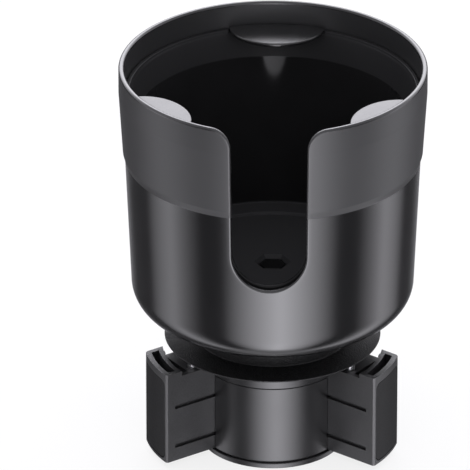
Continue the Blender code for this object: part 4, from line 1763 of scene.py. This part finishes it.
@dataclass
class ScrollPlate(Piece):
    """The plate under the disc, with a spiral slot for each foot's pin."""

    slot = Slot.MOULDING
    node = "scroll_plate"

    plan: FootPlan
    top: float = 39.7 * MM
    base: float = 37.5 * MM
    radius: float = 34.9 * MM
    rim: float = 0.2 * MM
    bevel_start: float = 30.6 * MM
    slot_half: float = 1.85 * MM
    overrun: float = radians(2.0)
    track_steps: int = 96
    screw_head: float = 2.9 * MM
    screw_head_base: float = 37.8 * MM
    screw_rim: float = 0.25 * MM
    screw_shank: float = 1.7 * MM

    def track(self, turn: float, side: int) -> list[Vector]:
        """Follow a foot's pin across the plate while the cup makes its half turn.

        Args:
            turn: the foot's direction in degrees.
            side: the foot's side.

        Returns:
            The pin's places on the plate.
        """
        step = (pi + 2 * self.overrun) / self.track_steps
        places = []
        for i in range(self.track_steps + 1):
            angle = step * i - self.overrun
            along = self.plan.pin_at - self.plan.travel * angle / pi
            places.append(Matrix.Rotation(radians(turn) - angle, 2)
                          @ Vector((along, side * self.plan.pin_side)))
        return places

    def spiral(self, turn: float, side: int) -> bpy.types.Object:
        """Make the cutter of one spiral slot.

        Args:
            turn: the foot's direction in degrees.
            side: the foot's side.

        Returns:
            The cutter.
        """
        places = self.track(turn, side)
        left, right = [], []
        for i, place in enumerate(places):
            ahead = places[min(i + 1, self.track_steps)] - places[max(i - 1, 0)]
            aside = Vector((-ahead.y, ahead.x)).normalized() * self.slot_half
            left.append(tuple(place + aside))
            right.append(tuple(place - aside))

        def end(place: Vector, start: Flat) -> list[Flat]:
            """Return the half circle that closes the slot, without its two ends."""
            first = degrees(atan2(start[1] - place.y, start[0] - place.x))
            return arc(tuple(place), self.slot_half, first, first - 180, 16)[1:-1]

        outline = left + end(places[-1], left[-1]) + right[::-1] + end(places[0], right[0])
        return prism("spiral", outline, self.base - REACH, self.top + REACH)

    def screw_hole(self, turn: float) -> bpy.types.Object:
        """Make the cutter of one countersunk hole.

        Args:
            turn: the hole's direction in degrees.

        Returns:
            The cutter.
        """
        shoulder = self.screw_head_base + self.screw_rim
        return lathe("hole", [
            (0.0, self.base - REACH), (self.screw_head, self.base - REACH),
            (self.screw_head, shoulder),
            (self.screw_shank, shoulder + self.screw_head - self.screw_shank),
            (self.screw_shank, self.top + REACH), (0.0, self.top + REACH)],
            HOLE_FACETS, around(SCREW_CIRCLE, turn))

    def build(self) -> bpy.types.Object:
        """Make the plate's mesh.

        Returns:
            The new object.
        """
        profile = filleted([
            (BOLT_HOLE, self.top, 0.0), (self.radius - self.rim, self.top, self.rim),
            (self.radius, self.top - self.rim, self.rim / 2),
            (self.bevel_start, self.base, 4 * self.rim), (BOLT_HOLE, self.base, 0.0)])
        plate = lathe("spiral_plate", profile, TURNED_FACETS)
        tools = [self.spiral(turn, side) for turn, side in FOOT_TURNS.values()]
        tools += [self.screw_hole(turn) for turn in SCREW_TURNS]
        return smooth(change(plate, Cut.REMOVE, *tools))


@dataclass
class Fasteners:
    """The steel pieces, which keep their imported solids."""

    plated: tuple[str, ...] = (
        "plate_screw_1", "plate_screw_2", "plate_screw_3", "lock_nut", "nut_washer",
        "follower_pin_rear", "follower_pin_left", "follower_pin_right")
    blackened: tuple[str, ...] = ("clamp_bolt",)

    def dress(self) -> None:
        """Give the solids their finishes."""
        plated = TurnedSteel().material()
        blackened = TurnedSteel("blackened_steel", (0.012, 0.012, 0.012),
                                (0.022, 0.022, 0.023), roughness=0.5).material()
        for names, steel in ((self.plated, plated), (self.blackened, blackened)):
            for name in names:
                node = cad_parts[name]
                node.data.materials.clear()
                node.data.materials.append(steel)
                log.info("%s: packed solid with a new finish", name)


# ---- The studio


@dataclass(frozen=True)
class SoftBand:
    """One tall soft light of the studio, seen from the object.

    Attributes:
        turn: the direction of its middle in degrees, from the front.
        width: degrees from its middle to where it ends.
        strength: its light at the middle.
    """

    turn: float
    width: float
    strength: float


@dataclass
class Studio:
    """The pale floor, the soft lights and the camera.

    The low lights lie below the horizon, where only glossy rays see them, and the high ones
    above it. A pair says between which heights of a ray's direction a light comes or fades,
    from -1, straight down, to 1, straight up.
    """

    floor_size: float = 12.0
    floor_colour: Colour = (0.8, 0.8, 0.8)
    light_tint: Colour = (0.985, 0.975, 1.035)
    pole_light: float = 1.0
    pole_guard: float = 1e-4
    low_fill: float = 0.1
    high_fill: float = 0.45
    low_bands: tuple[SoftBand, ...] = (
        SoftBand(6.5, 48.5, 8.6), SoftBand(-89.5, 29.0, 2.5), SoftBand(100.5, 28.0, 2.55),
        SoftBand(180.0, 34.0, 0.35))
    high_bands: tuple[SoftBand, ...] = (
        SoftBand(9.0, 60.0, 1.6), SoftBand(-94.0, 45.0, 1.4), SoftBand(104.0, 45.0, 1.6))
    back: SoftBand = SoftBand(180.0, 70.0, 5.8)
    floor_glow: float = 0.8
    low_foot: float = 0.82
    low_rise: Flat = (-1.0, -0.72)
    pole_rise: Flat = (-1.0, -0.93)
    horizon: Flat = (-0.12, 0.06)
    high_fade: Flat = (0.5, 0.9)
    top_light: float = 0.8
    top_rise: Flat = (0.5, 0.95)
    back_rise: Flat = (0.12, 0.38)
    back_fade: Flat = (0.5, 0.75)
    distance: float = 3.0
    rise: float = 1.601
    pitch: float = 0.4693
    aim: float = 0.004423
    orbit: float = 1.5
    focal_pixels: float = 9556.0
    frame_pixels: float = 470.0
    sensor: float = 36.0

    def build_floor(self) -> bpy.types.Object:
        """Make the floor.

        Returns:
            The floor.
        """
        half = self.floor_size / 2
        skin = Skin()
        skin.faces.append(tuple(skin.row([(-half, -half, 0.0), (half, -half, 0.0),
                                          (half, half, 0.0), (-half, half, 0.0)])))
        floor = skin.piece("studio_floor")
        s = Shading.of_material("studio_floor_white")
        seen, glossy, clear = (s.add("ShaderNodeLightPath", output=f"Is {ray} Ray")
                               for ray in ("Camera", "Glossy", "Transmission"))
        matt = s.add("ShaderNodeBsdfDiffuse", {}, {"Color": opaque(self.floor_colour)})
        glow = s.add("ShaderNodeEmission", {}, {"Color": WHITE, "Strength": 1.0})
        share = (seen + glossy + clear).below(1.0) * self.floor_glow
        mixed = s.add("ShaderNodeMixShader", {}, {0: share, 1: matt, 2: glow})
        output = next(n for n in s.tree.nodes if n.type == "OUTPUT_MATERIAL")
        s.feed(output.inputs["Surface"], mixed)
        floor.data.materials.append(bpy.data.materials["studio_floor_white"])
        floor.visible_glossy = False
        return floor

    def build_world(self) -> None:
        """Surround the object with tall soft lights."""
        world = bpy.data.worlds.new("studio")
        bpy.context.scene.world = world
        world.use_nodes = True
        s = Shading(world.node_tree)
        ray = s.add("ShaderNodeTexCoord", output="Generated")
        x, y, z = (s.axis(ray, i) for i in range(3))
        level = ((x * x + y * y) ** 0.5).above(self.pole_guard)

        def hill(band: SoftBand) -> Wire:
            """Work out a band's light, which fades evenly from its middle to its sides.

            Args:
                band: the band.

            Returns:
                Its light in the ray's direction.
            """
            turn = radians(band.turn + self.orbit)
            off = ((x * sin(turn) - y * cos(turn)) / level).angle()
            return (1.0 - off / radians(band.width)).above(0.0) * band.strength

        low: Amount = self.low_fill
        for band in self.low_bands:
            low = low + hill(band)
        high: Amount = self.high_fill
        for band in self.high_bands:
            high = high + hill(band) * (1.0 - z.step(*self.high_fade))
        high = high + z.step(*self.top_rise) * self.top_light
        back = hill(self.back) * z.step(*self.back_rise)
        high = high + back * (1.0 - z.step(*self.back_fade))
        low = low * (self.low_foot + z.step(*self.low_rise) * (1.0 - self.low_foot))
        low = low + (self.pole_light - low) * (1.0 - z.step(*self.pole_rise))
        under = 1.0 - z.step(*self.horizon)
        light = low * under + high * (1.0 - under)
        seen = s.add("ShaderNodeLightPath", output="Is Camera Ray")
        plain = s.add("ShaderNodeBackground", {}, {"Strength": 1.0, "Color": WHITE})
        tint = {"Strength": light, "Color": opaque(self.light_tint)}
        soft = s.add("ShaderNodeBackground", {}, tint)
        both = s.add("ShaderNodeMixShader", {}, {0: seen, 1: soft, 2: plain})
        output = next(n for n in s.tree.nodes if n.type == "OUTPUT_WORLD")
        s.feed(output.inputs["Surface"], both)
        world.cycles.sampling_method = "NONE"

    def build_camera(self) -> None:
        """Set the camera where the photograph was taken from."""
        camera = bpy.data.cameras.new("camera")
        stand = bpy.data.objects.new("camera", camera)
        bpy.context.scene.collection.objects.link(stand)
        stand.matrix_world = (
            Matrix.Rotation(radians(self.orbit), 4, "Z")
            @ Matrix.Translation((0.0, -self.distance, self.rise))
            @ Matrix.Rotation(self.aim, 4, "Z")
            @ Matrix.Rotation(pi / 2 - self.pitch, 4, "X"))
        camera.sensor_width = self.sensor
        camera.lens = self.sensor * self.focal_pixels / self.frame_pixels
        camera.clip_start = 0.5
        camera.clip_end = 30.0
        bpy.context.scene.camera = stand

    def build(self) -> None:
        """Make the studio."""
        self.build_floor()
        self.build_world()
        self.build_camera()
        bpy.context.scene.view_settings.view_transform = "Standard"


def main() -> None:
    """Build every piece in order and report it."""
    logging.basicConfig(level=logging.INFO, format="%(name)s: %(message)s")
    Studio().build()
    cup, plan = CupSizes(), FootPlan()
    CupShell(cup).make(ShellPlastic().material())
    InnerLiner(cup).make(LinerPlastic().material())
    tab_rubber = StippledRubber(
        "tab_rubber", (0.008, 0.008, 0.0082), (0.016, 0.016, 0.0166), roughness=0.24,
        scale=2400.0, height=0.02 * MM, specular=0.44).material()
    for side, turn in TAB_TURNS.items():
        FlexTab(cup, side, turn).make(tab_rubber)
    NeckDisc().make(HideGrain().material())
    Hub(plan).make(SatinPlastic(
        "hub_plastic", (0.006, 0.006, 0.0063), (0.009, 0.009, 0.0094), roughness=0.33,
        specular=0.46, grain_strength=0.1).material())
    moulding = SatinPlastic(
        "foot_moulding", (0.005, 0.005, 0.0052), (0.02, 0.02, 0.0207), roughness=0.46,
        specular=0.46, grain_scale=1600.0, grain_height=0.1 * MM, grain_strength=0.7,
        contrast=3.0).material()
    pad_rubber = StippledRubber(
        "pad_rubber", (0.004, 0.004, 0.0041), (0.01, 0.01, 0.0103), roughness=0.5,
        scale=1500.0, height=0.16 * MM, specular=0.14).material()
    for name, (turn, side) in FOOT_TURNS.items():
        Foot(plan, name, turn, side).make(moulding)
        Pad(plan, name, turn, side).make(pad_rubber)
    ScrollPlate(plan).make(moulding)
    Fasteners().dress()


if __name__ == "__main__":
    main()
